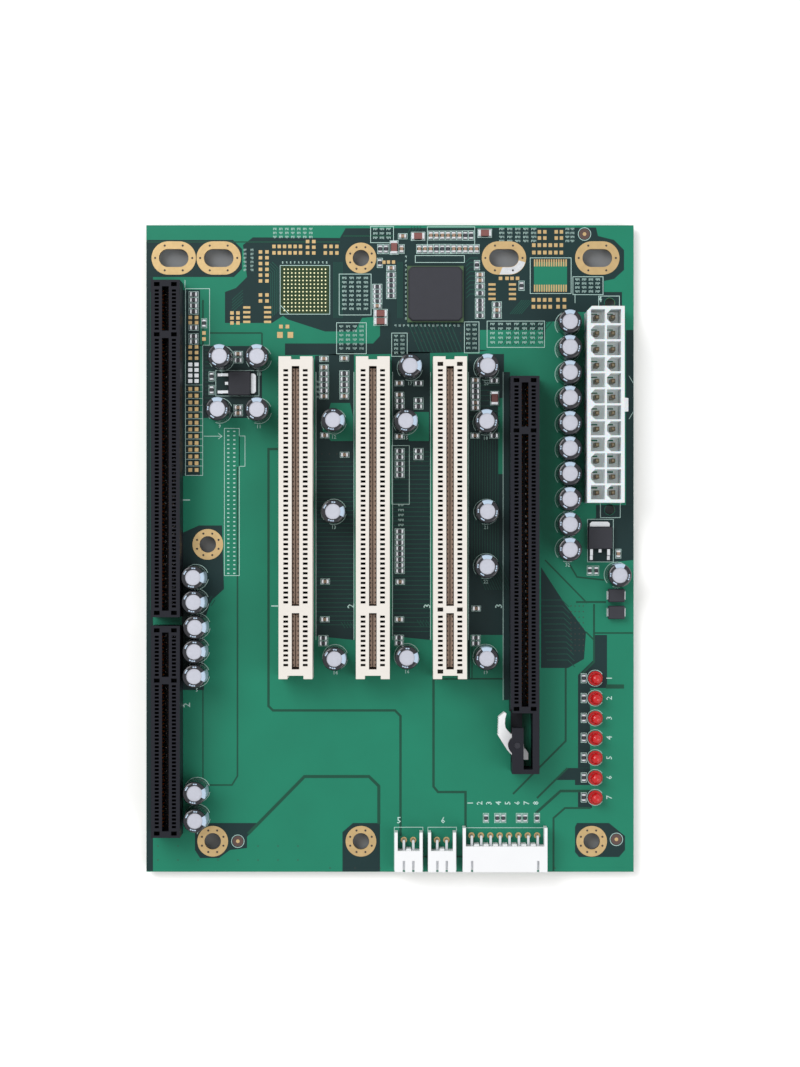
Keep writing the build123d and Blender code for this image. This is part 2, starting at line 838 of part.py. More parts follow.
def chip_plate():
    half = chip_size / 2
    return block(chip_x - half, chip_x + half, chip_y - half, chip_y + half, chip_low, chip_low + chip_substrate)


def chip_mould_solid():
    # The moulded cap has its four upright corners cut and its top edge bevelled.
    half = chip_mould_size / 2
    low = chip_low + chip_substrate
    cap = block(chip_x - half, chip_x + half, chip_y - half, chip_y + half, low, low + chip_mould)
    cap = chamfer(cap.edges().filter_by(Axis.Z), chip_corner)
    return chamfer(cap.faces().sort_by(Axis.Z)[-1].edges(), chip_mould / 3)


def chip_balls():
    r = chip_ball_radius
    low = seat
    ball = turned([
        (0, low), (0.6 * r, low), (r, low + chip_ball_height / 3), (r, low + 2 * chip_ball_height / 3),
        (0.6 * r, low + chip_ball_height), (0, low + chip_ball_height),
    ])
    solids = []
    last = chip_ball_rows - 1
    for i in range(chip_ball_rows):
        for j in range(chip_ball_rows):
            if min(i, j, last - i, last - j) < chip_ball_rings:
                x = chip_x + chip_ball_pitch * (i - last / 2)
                y = chip_y + chip_ball_pitch * (j - last / 2)
                solids.append(Pos(x, y, 0) * ball)
    return solids


# Regulators: drawn with the leads to the left and the tab to the right
regulators = [(-40.05, 44.0, 0), (55.95, 2.85, 90)]


def at_regulators(solids):
    return [Pos(x, y, 0) * Rot(0, 0, turn) * solid for x, y, turn in regulators for solid in solids]


def regulator_tab():
    half = regulator_length / 2
    wide = regulator_tab_width / 2
    tab = block(-half / 2, half + regulator_tab_reach, -wide, wide, seat, seat + regulator_tab_thickness)
    corners = tab.edges().filter_by(Axis.Z).sort_by(Axis.X)[-2:]
    return chamfer(corners, regulator_tab_thickness)


def regulator_leads():
    half = regulator_length / 2
    thick = regulator_tab_thickness
    level = seat + regulator_lead_level
    foot = seat + thick / 2
    knee = half + regulator_lead_reach / 2
    line = [
        (-half + 2 * thick, level), (-knee + thick, level), (-knee, level), (-knee - thick / 2, foot),
        (-half - regulator_lead_reach, foot),
    ]
    leads = []
    for side in (-1, 1):
        leads.append(profile_across(ribbon(line, thick), side * regulator_lead_spacing, regulator_lead_width))
    stub = [(-half + 2 * thick, level), (-half - regulator_stub_reach, level)]
    leads.append(profile_across(ribbon(stub, thick), 0, regulator_lead_width))
    return leads


def regulator_body():
    half = regulator_length / 2
    wide = regulator_width / 2
    body = block(-half, half, -wide, wide, seat + seat_gap, seat + regulator_height)
    body = chamfer(body.faces().sort_by(Axis.Z)[-1].edges(), regulator_taper)
    return body.cut(regulator_tab(), *regulator_leads())


# Rectifiers, one behind the other, with their terminals left and right
rectifiers = [(60.3, -12.5), (60.3, -12.5 - rectifier_spacing)]


def at_rectifiers(solids):
    return [Pos(x, y, 0) * solid for x, y in rectifiers for solid in solids]


def rectifier_terminals():
    half = rectifier_length / 2
    bend = half + rectifier_terminal / 2
    foot = seat + rectifier_terminal / 2
    waist = seat + rectifier_waist
    solids = []
    for side in (-1, 1):
        line = [(half - rectifier_foot / 2, waist), (bend, waist), (bend, foot), (half - rectifier_foot, foot)]
        strip = [(side * x, z) for x, z in ribbon(line, rectifier_terminal)]
        solids.append(profile_across(strip, 0, rectifier_terminal_width))
    return solids


def rectifier_body():
    half = rectifier_length / 2
    wide = rectifier_width / 2
    body = block(-half, half, -wide, wide, seat + seat_gap, seat + rectifier_height)
    body = chamfer(body.faces().sort_by(Axis.Z)[-1].edges(), rectifier_terminal)
    return body.cut(*rectifier_terminals())


# Chips: a middle part with a metal cap at each end
def chip_middle(length, width, height, end):
    half = length / 2 - end
    return block(-half, half, -width / 2, width / 2, seat, seat + height)


def chip_caps(length, width, height, end):
    half = length / 2
    caps = [block(-half, end - half, -width / 2, width / 2, seat, seat + height)]
    caps.append(block(half - end, half, -width / 2, width / 2, seat, seat + height))
    return caps


def at_chips(solids, across, upright):
    placed = []
    for solid in solids:
        placed += [Pos(x, y, 0) * solid for x, y in across]
        placed += [Pos(x, y, 0) * Rot(0, 0, 90) * solid for x, y in upright]
    return placed


lamp_resistors = [(lamp_x - lamp_resistor_gap, y) for y in lamp_rows]
resistor_spots = (spread(resistors_across, False), spread(resistors_upright, True) + lamp_resistors)
small_spots = (spread(capacitors_across, False), spread(capacitors_upright, True))
large_spots = (spread(large_capacitors_across, False), spread(large_capacitors_upright, True))
resistor_size = (chip_length, chip_width, resistor_height, resistor_end)
small_size = (chip_length, chip_width, small_capacitor_height, small_capacitor_end)
large_size = (large_chip_length, large_chip_width, large_chip_height, large_chip_end)

# Board with every hole that a lead, a tail, a peg or a bolt goes through
round_holes = [
    (middle_hole_x, back - back_hole_inset),
    (middle_hole_x, front + front_hole_inset),
    (left + left_hole_inset, front + front_hole_inset),
    (right - right_hole_inset, front + front_hole_inset),
    (left + side_hole_inset, side_hole_y),
]
oval_holes = [
    (left + left_oval_inset, back - back_hole_inset),
    (left + left_oval_inset + left_oval_spacing, back - back_hole_inset),
    (right - right_oval_inset, back - back_hole_inset),
    (right - right_oval_inset - right_oval_spacing, back - back_hole_inset),
]
spare_holes = [(power_x + spare_hole_offset, power_y + side * spare_hole_spacing / 2) for side in (-1, 1)]


def circle_wire(x, y, radius, z):
    return Wire.make_circle(radius, Plane(origin=(x, y, z)))


def oval_wire(x, y, length, width, z):
    return (Pos(x, y, z) * SlotOverall(length, width)).face().outer_wire()


def board_hole_wires():
    room = plating + plating_gap
    wires = [circle_wire(x, y, round_hole_radius + room, underside) for x, y in round_holes]
    wires += [oval_wire(x, y, oval_hole_length + 2 * room, oval_hole_width + 2 * room, underside)
              for x, y in oval_holes]
    wires += [circle_wire(x, y, spare_hole_radius, underside) for x, y in spare_holes]
    for slot in card_slots:
        wires += [circle_wire(x, y, tail_hole_radius, underside) for x, y in slot_tails(slot)]
        wires += [circle_wire(x, y, peg_radius + peg_clearance, underside) for x, y in slot_pegs(slot)]
    wires += [circle_wire(x, y, power_hole_radius, underside) for x, y, keyed in power_cells()]
    for x, pins, length in headers.values():
        for place in header_pin_places(x, pins):
            wires.append(circle_wire(place, header_hole_y(length), header_hole_radius, underside))
    wires += [circle_wire(x, y, lead_hole_radius, underside) for x, y in capacitor_lead_holes()]
    wires += [circle_wire(x, y, lead_hole_radius, underside) for x, y in lamp_lead_holes()]
    return wires


def circuit_board():
    outline = Wire.make_polygon([
        (left, front, underside), (right, front, underside), (right, back, underside), (left, back, underside),
    ])
    return slab(Face(outline, board_hole_wires()), board_thickness)


def land(outline, bore):
    # A plated hole: a tube through the board with a flat ring on both sides of it.
    low = underside - land_gap - plating
    high = top + land_gap
    tube = slab(Face(outline(plating, low), [bore(low)]), high + plating - low)
    rings = [slab(Face(outline(None, z), [bore(z)]), plating) for z in (low, high)]
    return tube.fuse(*rings)


def round_land(x, y):
    def outline(wall, z):
        return circle_wire(x, y, round_land_radius if wall is None else round_hole_radius + wall, z)
    return land(outline, lambda z: circle_wire(x, y, round_hole_radius, z))


def oval_land(x, y):
    def outline(wall, z):
        if wall is None:
            return oval_wire(x, y, oval_land_length, oval_land_width, z)
        return oval_wire(x, y, oval_hole_length + 2 * wall, oval_hole_width + 2 * wall, z)
    return land(outline, lambda z: oval_wire(x, y, oval_hole_length, oval_hole_width, z))


# Every part, saved as one file each
save("circuit_board", [circuit_board()])
save("mounting_hole_lands", [round_land(x, y) for x, y in round_holes] + [oval_land(x, y) for x, y in oval_holes])
for number, slot in expansion_slots.items():
    save(f"expansion_slot_{number}_housing", [slot_housing(slot, extra_cuts=expansion_notches(slot))])
    save(f"expansion_slot_{number}_contacts", slot_contacts(slot))
save("long_host_slot_housing", [slot_housing(long_host)])
save("long_host_slot_contacts", slot_contacts(long_host))
save("short_host_slot_housing", [slot_housing(short_host)])
save("short_host_slot_contacts", slot_contacts(short_host))
save("graphics_slot_housing", [slot_housing(graphics, latch_frame_body(), [latch_relief()])])
save("graphics_slot_contacts", slot_contacts(graphics))
save("card_latch_lever", [latch_lever()])
save("latch_pivot_pin", [latch_pin()])
save("power_header_housing", [power_housing()])
save("power_header_pins", power_pins())
for name, (x, pins, length) in headers.items():
    save(f"{name}_housing", [header_housing(x, pins, length)])
    save(f"{name}_pins", header_pins(x, pins, length))
save("capacitor_sleeves", at_capacitors([capacitor_sleeve_solid()]))
save("capacitor_cans", at_capacitors([capacitor_can_solid()]))
save("capacitor_seals", at_capacitors([capacitor_seal_solid()]))
save("capacitor_leads", at_capacitors(capacitor_lead_solids()))
save("indicator_lamp_lenses", at_lamps([lamp_lens()]))
save("indicator_lamp_leads", at_lamps(lamp_leads()))
save("bridge_chip_substrate", [chip_plate()])
save("bridge_chip_mould", [chip_mould_solid()])
save("bridge_chip_solder_balls", chip_balls())
save("regulator_bodies", at_regulators([regulator_body()]))
save("regulator_tabs", at_regulators([regulator_tab()]))
save("regulator_leads", at_regulators(regulator_leads()))
save("rectifier_bodies", at_rectifiers([rectifier_body()]))
save("rectifier_terminals", at_rectifiers(rectifier_terminals()))
save("chip_resistor_bodies", at_chips([chip_middle(*resistor_size)], *resistor_spots))
save("chip_resistor_ends", at_chips(chip_caps(*resistor_size), *resistor_spots))
save("small_capacitor_bodies", at_chips([chip_middle(*small_size)], *small_spots))
save("small_capacitor_ends", at_chips(chip_caps(*small_size), *small_spots))
save("large_capacitor_bodies", at_chips([chip_middle(*large_size)], *large_spots))
save("large_capacitor_ends", at_chips(chip_caps(*large_size), *large_spots))
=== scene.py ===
# %% [markdown]
# # A passive backplane
# This lesson dresses the solid model of a small computer's backplane: a green board that only carries
# slots and power. The solids already have their true size. Blender adds what a board has on its surface,
# copper under green mask, gold pads, solder, white print, and the finish of every part.

# %% The frame
import math
import bpy
import bmesh
from mathutils import Matrix, Vector


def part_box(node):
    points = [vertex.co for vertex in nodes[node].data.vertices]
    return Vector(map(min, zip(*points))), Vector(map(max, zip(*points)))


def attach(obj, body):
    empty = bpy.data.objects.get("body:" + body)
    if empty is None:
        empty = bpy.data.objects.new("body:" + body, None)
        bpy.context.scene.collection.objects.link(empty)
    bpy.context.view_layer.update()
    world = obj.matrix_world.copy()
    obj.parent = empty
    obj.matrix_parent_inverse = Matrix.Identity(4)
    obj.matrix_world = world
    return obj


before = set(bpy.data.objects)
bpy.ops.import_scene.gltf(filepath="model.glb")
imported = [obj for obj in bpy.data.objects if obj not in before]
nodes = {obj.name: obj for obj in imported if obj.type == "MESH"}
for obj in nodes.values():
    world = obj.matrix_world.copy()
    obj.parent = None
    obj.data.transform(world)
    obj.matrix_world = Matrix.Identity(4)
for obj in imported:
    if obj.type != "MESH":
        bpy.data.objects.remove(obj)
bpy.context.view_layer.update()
mm = 0.001
BODY = "backplane"

# %% [markdown]
# ## Places
# The board is flat, so a place on it is easy to read off the photograph, which looks straight down. One
# function turns such a place into millimetres from the middle of the board. Each layer on the board has its
# own small height, so that no two surfaces lie in one plane and flicker.

# %% From the photograph to the board
PHOTO_MIDDLE = (390.0, 548.5)
PIXELS_PER_MM = 3.7477
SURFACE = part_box("circuit_board")[1].z / mm
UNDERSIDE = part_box("circuit_board")[0].z / mm
ZONE = (SURFACE + 0.004, SURFACE + 0.016)
PATCH = (SURFACE + 0.016, SURFACE + 0.026)
TRACE = (SURFACE + 0.016, SURFACE + 0.034)
PRINT = (SURFACE + 0.034, SURFACE + 0.05)
PAD = (SURFACE + 0.02, SURFACE + 0.095)


def place(px, py):
    return (px - PHOTO_MIDDLE[0]) / PIXELS_PER_MM, (PHOTO_MIDDLE[1] - py) / PIXELS_PER_MM


def places(points):
    return [place(px, py) for px, py in points]


print("board surface at", round(SURFACE, 3), "mm")

# %% [markdown]
# ## Materials
# Every finish here is a Principled shader with two faint patterns: a slow change of tone, as no moulding,
# lacquer or plating is even all over, and a fine grain in the surface. Patterns are measured in
# millimetres. A grain finer than half a millimetre would vanish at this distance, so it is drawn that coarse.

# %% Colour and node helpers
def linear(code):
    channels = [int(code[i:i + 2], 16) / 255 for i in (0, 2, 4)]
    return tuple(c / 12.92 if c <= 0.04045 else ((c + 0.055) / 1.055) ** 2.4 for c in channels) + (1.0,)


def add_node(tree, kind, inputs=(), **settings):
    node = tree.nodes.new(kind)
    for key, value in settings.items():
        setattr(node, key, value)
    for socket, value in dict(inputs).items():
        if isinstance(value, bpy.types.NodeSocket):
            tree.links.new(value, node.inputs[socket])
        else:
            node.inputs[socket].default_value = value
    return node


GRAIN_DEPTH = 0.05 * mm


def finish(name, code, roughness, metallic=0.0, tone=0.1, tone_mm=6.0, grain_mm=0.5, grain=0.15, sockets=()):
    material = bpy.data.materials.new(name)
    material.use_nodes = True
    tree = material.node_tree
    tree.nodes.clear()
    spot = add_node(tree, "ShaderNodeTexCoord").outputs["Object"]
    slow = add_node(tree, "ShaderNodeTexNoise", {"Vector": spot, "Scale": 1 / (tone_mm * mm), "Detail": 3.0})
    fine = add_node(tree, "ShaderNodeTexNoise", {"Vector": spot, "Scale": 1 / (grain_mm * mm), "Detail": 2.0})
    colour = linear(code)
    deep = tuple(c * (1 - tone) for c in colour[:3]) + (1.0,)
    pale = tuple(min(1.0, c * (1 + tone)) for c in colour[:3]) + (1.0,)
    mix = add_node(tree, "ShaderNodeMix", {0: slow.outputs["Fac"], 6: deep, 7: pale}, data_type="RGBA")
    bump = add_node(tree, "ShaderNodeBump", {
        "Height": fine.outputs["Fac"], "Strength": grain, "Distance": GRAIN_DEPTH})
    shader = add_node(tree, "ShaderNodeBsdfPrincipled", {
        "Base Color": mix.outputs[2], "Roughness": roughness, "Metallic": metallic,
        "Normal": bump.outputs["Normal"], **dict(sockets)})
    add_node(tree, "ShaderNodeOutputMaterial", {"Surface": shader.outputs["BSDF"]})
    return material, shader, mix.outputs[2], spot


print("linear white", linear("ffffff"))

# %% [markdown]
# ## The board's lacquer
# Solder mask is a clear green lacquer. Over copper it looks bright, and over bare laminate it looks dark and
# bluish, because the brown laminate shows through. The cut edge of the board has no lacquer and shows the
# pale glass-epoxy. The board's solid takes the bright lacquer, with the laminate on faces that look sideways.

# %% Lacquer over copper and over laminate
MASK_SHEEN = {"Specular IOR Level": 0.22}
lacquer_on_copper = finish("green_lacquer_on_copper", "16745a", 0.42, tone=0.12, tone_mm=14, grain=0.1,
                           sockets=MASK_SHEEN)[0]
# This dark lacquer also serves as painted shade in some strips beside tall parts.
laminate_and_shade_lacquer = finish("green_lacquer_on_laminate_and_painted_shade", "0b2829", 0.45, tone=0.12, tone_mm=10, grain=0.1,
                             sockets=MASK_SHEEN)[0]
lacquer_on_trace = finish("green_lacquer_on_trace", "14473c", 0.42, tone=0.1, grain=0.1,
                          sockets=MASK_SHEEN)[0]
lacquer_in_footprint = finish("green_lacquer_in_footprint", "22371d", 0.45, tone=0.1, grain=0.1,
                              sockets=MASK_SHEEN)[0]
lacquer_in_gap = finish("green_lacquer_in_gap", "0f4434", 0.45, tone=0.1, grain=0.1, sockets=MASK_SHEEN)[0]
board_finish, board_shader, board_tone, _ = finish(
    "lacquered_glass_epoxy", "16745a", 0.42, tone=0.12, tone_mm=14, grain=0.1, sockets=MASK_SHEEN)
tree = board_finish.node_tree
facing = add_node(tree, "ShaderNodeSeparateXYZ",
                  {0: add_node(tree, "ShaderNodeNewGeometry").outputs["True Normal"]})
level = add_node(tree, "ShaderNodeMath", {0: facing.outputs["Z"]}, operation="ABSOLUTE")
flat = add_node(tree, "ShaderNodeMath", {0: level.outputs[0], 1: 0.5}, operation="GREATER_THAN")
edge = add_node(tree, "ShaderNodeMix", {0: flat.outputs[0], 6: linear("8f8a5c"), 7: board_tone},
                data_type="RGBA")
tree.links.new(edge.outputs[2], board_shader.inputs["Base Color"])
print("lacquers ready")

# %% [markdown]
# ## Metals
# The lands and pads are gold over nickel, warm and satin. Solder is bright tin with a soft, uneven skin.
# Contacts are gold-flashed bronze, pins are tinned or plated brass, and the cans are drawn aluminium.

# %% Metals
gold = finish("gold_over_nickel", "b99f73", 0.36, metallic=1.0, tone=0.14, tone_mm=1.5, grain=0.3)[0]
pale_gold = finish("thin_pale_gold", "e2dfb4", 0.4, metallic=1.0, tone=0.1, tone_mm=1.5)[0]
solder = finish("bright_tin_solder", "d5d8dc", 0.24, metallic=1.0, tone=0.2, tone_mm=0.8, grain=0.5)[0]
tin = finish("tinned_lead", "cfd2d6", 0.3, metallic=1.0, tone=0.12, tone_mm=1.2, grain=0.25)[0]
bronze = finish("gold_flashed_bronze", "c08a45", 0.35, metallic=1.0, tone=0.15, tone_mm=1.0)[0]
# The header pins' brass is darkened, partly painted shade of the deep cells they stand in.
brass_pin_and_cell_shade = finish("plated_brass_pin_and_painted_shade", "7f735f", 0.45, metallic=1.0, tone=0.15, tone_mm=1.0)[0]
steel = finish("blackened_steel", "3a3a40", 0.35, metallic=1.0, tone=0.1)[0]
aluminium = finish("drawn_aluminium", "aeb0ba", 0.5, metallic=0.65, tone=0.08, tone_mm=0.7, grain_mm=0.25,
                   grain=0.35)[0]
print("metals ready")

# %% [markdown]
# ## Plastics, ceramics and lacquered print
# The slots are glass-filled nylon: satin, with a faint mottle. The power header is clearer nylon that lets
# some light in. The capacitor sleeve is shiny film, the lamps are clear red resin, the chips are matt epoxy,
# and the chip components are fired ceramic. White print is a matt ink that takes a tint from the green below.

# %% Plastics and print
white_nylon, white_shader, white_tone, white_spot = finish(
    "white_glass_filled_nylon", "d6d1ca", 0.5, tone=0.03, tone_mm=3, grain=0.12)
clear_nylon, clear_shader, _, clear_spot = finish(
    "milky_nylon", "d2d9dc", 0.35, tone=0.03, grain=0.08,
    sockets={"Subsurface Weight": 0.25, "Subsurface Scale": 1.2 * mm})
header_nylon = finish("white_nylon_header", "e0e1e3", 0.45, tone=0.02, grain=0.08)[0]
black_nylon = finish("black_glass_filled_nylon", "16171f", 0.45, tone=0.15, tone_mm=3, grain=0.2,
                     sockets={"Specular IOR Level": 0.18})[0]
sleeve_film = finish("black_shrink_film", "12131b", 0.22, tone=0.1, grain=0.05)[0]
stripe_film = finish("pale_blue_film_print", "a9bccf", 0.3, tone=0.08, grain=0.05)[0]
red_resin = finish("clear_red_resin", "b81216", 0.15, tone=0.12, tone_mm=0.8, grain=0.05, sockets={
    "Coat Weight": 0.25, "Coat Roughness": 0.1, "Specular IOR Level": 0.3})[0]
chip_epoxy = finish("matt_moulding_epoxy", "2a2b32", 0.55, tone=0.1, tone_mm=2, grain=0.3,
                    sockets={"Specular IOR Level": 0.3})[0]
substrate = finish("chip_laminate", "3c5a36", 0.4, tone=0.15, tone_mm=1)[0]
resistor_glaze = finish("dark_resistor_glaze", "2b2c34", 0.35, tone=0.2, tone_mm=0.6)[0]
brown_ceramic = finish("fired_brown_ceramic", "8d7560", 0.5, tone=0.12, tone_mm=0.6)[0]
red_ceramic = finish("fired_red_brown_ceramic", "70403c", 0.5, tone=0.15, tone_mm=0.8)[0]
seal_rubber = finish("black_seal_rubber", "1c1c1d", 0.7)[0]
ink = finish("white_print_ink", "aecdc6", 0.6, tone=0.06, tone_mm=1.2, grain=0.1)[0]
# a flat dark disc in place of a small hole: painted shade
painted_hole_shade = finish("shaded_plated_hole", "2a211c", 0.6)[0]
print("plastics and print ready")

# %% [markdown]
# The slits of the white slots look brown from above, because the bronze contacts inside shine on the nylon
# walls. That light is painted into the nylon's colour as a brown tint, a painted reflection, only inside the
# slit and only below the rim. Where the three slots stand comes from their solids.

# %% Brown slit tint: painted reflection of the contacts
tree = white_nylon.node_tree
axes = add_node(tree, "ShaderNodeSeparateXYZ", {0: white_spot})
slot_boxes = [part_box(f"expansion_slot_{n}_housing") for n in (1, 2, 3)]
SLIT_HALF = 1.05 * mm
SLIT_DEPTH = 1.2 * mm
slit_top = slot_boxes[0][1].z - SLIT_DEPTH
near = None
for low, high in slot_boxes:
    middle = (low.x + high.x) / 2
    away = add_node(tree, "ShaderNodeMath", {0: axes.outputs["X"], 1: middle}, operation="SUBTRACT")
    away = add_node(tree, "ShaderNodeMath", {0: away.outputs[0]}, operation="ABSOLUTE")
    within = add_node(tree, "ShaderNodeMath", {0: away.outputs[0], 1: SLIT_HALF}, operation="LESS_THAN")
    near = within if near is None else add_node(
        tree, "ShaderNodeMath", {0: near.outputs[0], 1: within.outputs[0]}, operation="MAXIMUM")
below = add_node(tree, "ShaderNodeMath", {0: axes.outputs["Z"], 1: slit_top}, operation="LESS_THAN")
# mask of the painted reflection: inside a slit and below its rim
tint = add_node(tree, "ShaderNodeMath", {0: near.outputs[0], 1: below.outputs[0]}, operation="MULTIPLY")
slit = add_node(tree, "ShaderNodeMix", {0: tint.outputs[0], 6: white_tone, 7: linear("a08a7a")},
                data_type="RGBA")
tree.links.new(slit.outputs[2], white_shader.inputs["Base Color"])
print("slit tint below", round(slit_top / mm, 2), "mm")

# %% [markdown]
# The power header's nylon is milky, so light comes through its thin walls and its cells look pale grey deep
# down. A weak glow stands for that light. It is there only inside the housing and below its rim.

# %% Light through the milky walls
tree = clear_nylon.node_tree
axes = add_node(tree, "ShaderNodeSeparateXYZ", {0: clear_spot})
low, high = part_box("power_header_housing")
CELL_PITCH = 4.2 * mm
CELL_WALL = 0.35 * mm
BODY_HALF = 4.9 * mm
LATCH_RIDGE = 1.2 * mm
RIM_DEPTH = 0.5 * mm
CELL_GLOW = 0.17
mask = None
for axis, middle, reach in (("X", high.x - BODY_HALF - LATCH_RIDGE, CELL_PITCH - CELL_WALL),
                            ("Y", (low.y + high.y) / 2, 6 * CELL_PITCH - CELL_WALL)):
    away = add_node(tree, "ShaderNodeMath", {0: axes.outputs[axis], 1: middle}, operation="SUBTRACT")
    away = add_node(tree, "ShaderNodeMath", {0: away.outputs[0]}, operation="ABSOLUTE")
    within = add_node(tree, "ShaderNodeMath", {0: away.outputs[0], 1: reach}, operation="LESS_THAN")
    mask = within if mask is None else add_node(
        tree, "ShaderNodeMath", {0: mask.outputs[0], 1: within.outputs[0]}, operation="MULTIPLY")
under = add_node(tree, "ShaderNodeMath", {0: axes.outputs["Z"], 1: high.z - RIM_DEPTH}, operation="LESS_THAN")
mask = add_node(tree, "ShaderNodeMath", {0: mask.outputs[0], 1: under.outputs[0]}, operation="MULTIPLY")
glow_level = add_node(tree, "ShaderNodeMath", {0: mask.outputs[0], 1: CELL_GLOW}, operation="MULTIPLY")
tree.links.new(glow_level.outputs[0], clear_shader.inputs["Emission Strength"])
clear_shader.inputs["Emission Color"].default_value = linear("dfe6e3")
print("glow below", round((high.z - RIM_DEPTH) / mm, 2), "mm")

# %% [markdown]
# ## Dressing the solids
# The shapes of the solids are right as they are, so each only takes its finish.

# %% Finishes of the solids
dress = {
    "circuit_board": board_finish, "mounting_hole_lands": gold, "card_latch_lever": header_nylon,
    "latch_pivot_pin": steel, "power_header_housing": clear_nylon, "power_header_pins": brass_pin_and_cell_shade,
    "capacitor_sleeves": sleeve_film, "capacitor_cans": aluminium, "capacitor_seals": seal_rubber,
    "capacitor_leads": tin, "indicator_lamp_lenses": red_resin, "indicator_lamp_leads": tin,
    "bridge_chip_mould": chip_epoxy, "bridge_chip_substrate": substrate, "bridge_chip_solder_balls": solder,
    "regulator_bodies": chip_epoxy, "regulator_tabs": tin, "regulator_leads": tin,
    "rectifier_bodies": chip_epoxy, "rectifier_terminals": tin,
    "chip_resistor_bodies": resistor_glaze, "chip_resistor_ends": solder,
    "small_capacitor_bodies": brown_ceramic, "small_capacitor_ends": solder,
    "large_capacitor_bodies": red_ceramic, "large_capacitor_ends": solder,
}
for name in nodes:
    if name.endswith("_contacts"):
        dress[name] = bronze
    elif name.startswith("expansion_slot"):
        dress[name] = white_nylon
    elif name.endswith("slot_housing"):
        dress[name] = black_nylon
    elif name.endswith("_header_housing") and name not in dress:
        dress[name] = header_nylon
    elif name.endswith("_header_pins") and name not in dress:
        dress[name] = tin
for name, node in nodes.items():
    node.data.materials.clear()
    node.data.materials.append(dress[name])
print("dressed", len(dress), "nodes")

# %% [markdown]
# ## Tools for flat work
# Most new pieces are flat: copper, pads, print. They could be painted on the board in its shader, but then
# they would have no edge to catch the light, so each is a thin closed solid. A field with holes is filled
# from its outlines and extruded, and so is a line, with mitred corners. A pad is a stretched cube, and a
# ring or a cone of solder is a short outline spun round. A shape that comes back hundreds of times is made
# once, as a stamp, and pressed into the shared mesh of its kind. Lines that cross get small differences in
# height, so that no two tops lie in one plane.

# %% Stamps and sheets
STAMP_WELD = 0.0001 * mm
PIECE_WELD = 0.0005 * mm
NUMBER_WELD = 0.0002 * mm
LINE_LIFT = 0.0012


def as_stamp(bm, name):
    bmesh.ops.remove_doubles(bm, verts=bm.verts, dist=STAMP_WELD)
    mesh = bpy.data.meshes.new(name)
    bm.to_mesh(mesh)
    bm.free()
    return mesh


def add_sheet(bm, outline, holes, heights):
    flat = bmesh.new()
    edges = []
    for loop in [outline, *holes]:
        corners = [flat.verts.new((x * mm, y * mm, heights[0] * mm)) for x, y in loop]
        edges += [flat.edges.new(pair) for pair in zip(corners, corners[1:] + corners[:1])]
    filled = bmesh.ops.triangle_fill(flat, use_beauty=True, edges=edges)
    faces = [item for item in filled["geom"] if isinstance(item, bmesh.types.BMFace)]
    raised = bmesh.ops.extrude_face_region(flat, geom=faces)
    moved = [item for item in raised["geom"] if isinstance(item, bmesh.types.BMVert)]
    bmesh.ops.translate(flat, verts=moved, vec=(0, 0, (heights[1] - heights[0]) * mm))
    mesh = as_stamp(flat, "sheet")
    bm.from_mesh(mesh)
    bpy.data.meshes.remove(mesh)


def press(bm, stamp, matrix):
    copy = stamp.copy()
    copy.transform(matrix)
    bm.from_mesh(copy)
    bpy.data.meshes.remove(copy)


print("corners nearer than", round(PIECE_WELD / mm, 5), "mm become one")

# %% Blocks and lines
one_cube = bmesh.new()
bmesh.ops.create_cube(one_cube, size=1)
CUBE = as_stamp(one_cube, "cube_stamp")


def add_block(bm, x, y, width, length, heights, turn=0.0):
    middle = Vector((x, y, (heights[0] + heights[1]) / 2)) * mm
    size = (width * mm, length * mm, (heights[1] - heights[0]) * mm, 1)
    press(bm, CUBE, Matrix.Translation(middle) @ Matrix.Rotation(turn, 4, "Z") @ Matrix.Diagonal(size))


def add_line(bm, points, width, heights):
    directions = [Vector((x1 - x0, y1 - y0)).normalized() for (x0, y0), (x1, y1) in zip(points, points[1:])]
    left, right = [], []
    for i, (x, y) in enumerate(points):
        before = directions[max(i - 1, 0)]
        after = directions[min(i, len(directions) - 1)]
        across = (before + after).normalized().orthogonal()
        reach = width / 2 / max(0.3, across.dot(before.orthogonal()))
        left.append((x + across.x * reach, y + across.y * reach))
        right.append((x - across.x * reach, y - across.y * reach))
    lift = LINE_LIFT * (len(bm.verts) // 4 % 7)
    add_sheet(bm, left + right[::-1], [], (heights[0], heights[1] + lift))


print("a block has", len(CUBE.polygons), "faces")

# %% Spun shapes and finished pieces
def spun_stamp(profile, steps):
    bm = bmesh.new()
    corners = [bm.verts.new((r * mm, 0, z * mm)) for r, z in profile]
    edges = [bm.edges.new(pair) for pair in zip(corners, corners[1:])]
    bmesh.ops.spin(bm, geom=corners + edges, axis=(0, 0, 1), angle=math.tau, steps=steps, use_merge=True)
    return as_stamp(bm, "spun_stamp")


def add_spun(bm, x, y, stamp):
    press(bm, stamp, Matrix.Translation(Vector((x, y, 0)) * mm))


def finish_piece(name, bm, material):
    bmesh.ops.remove_doubles(bm, verts=bm.verts, dist=PIECE_WELD)
    bmesh.ops.recalc_face_normals(bm, faces=bm.faces)
    mesh = bpy.data.meshes.new(name)
    bm.to_mesh(mesh)
    bm.free()
    mesh.materials.append(material)
    piece = bpy.data.objects.new(name, mesh)
    bpy.context.scene.collection.objects.link(piece)
    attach(piece, BODY)
    print(name, "faces", len(mesh.polygons))


print("new pieces ride on", BODY)

# %% [markdown]
# Some new pieces have to follow the solids, such as solder at a pin. A node of small parts is one mesh, so
# one function walks over its joined corners and gives each loose shell's box and its lowest point.

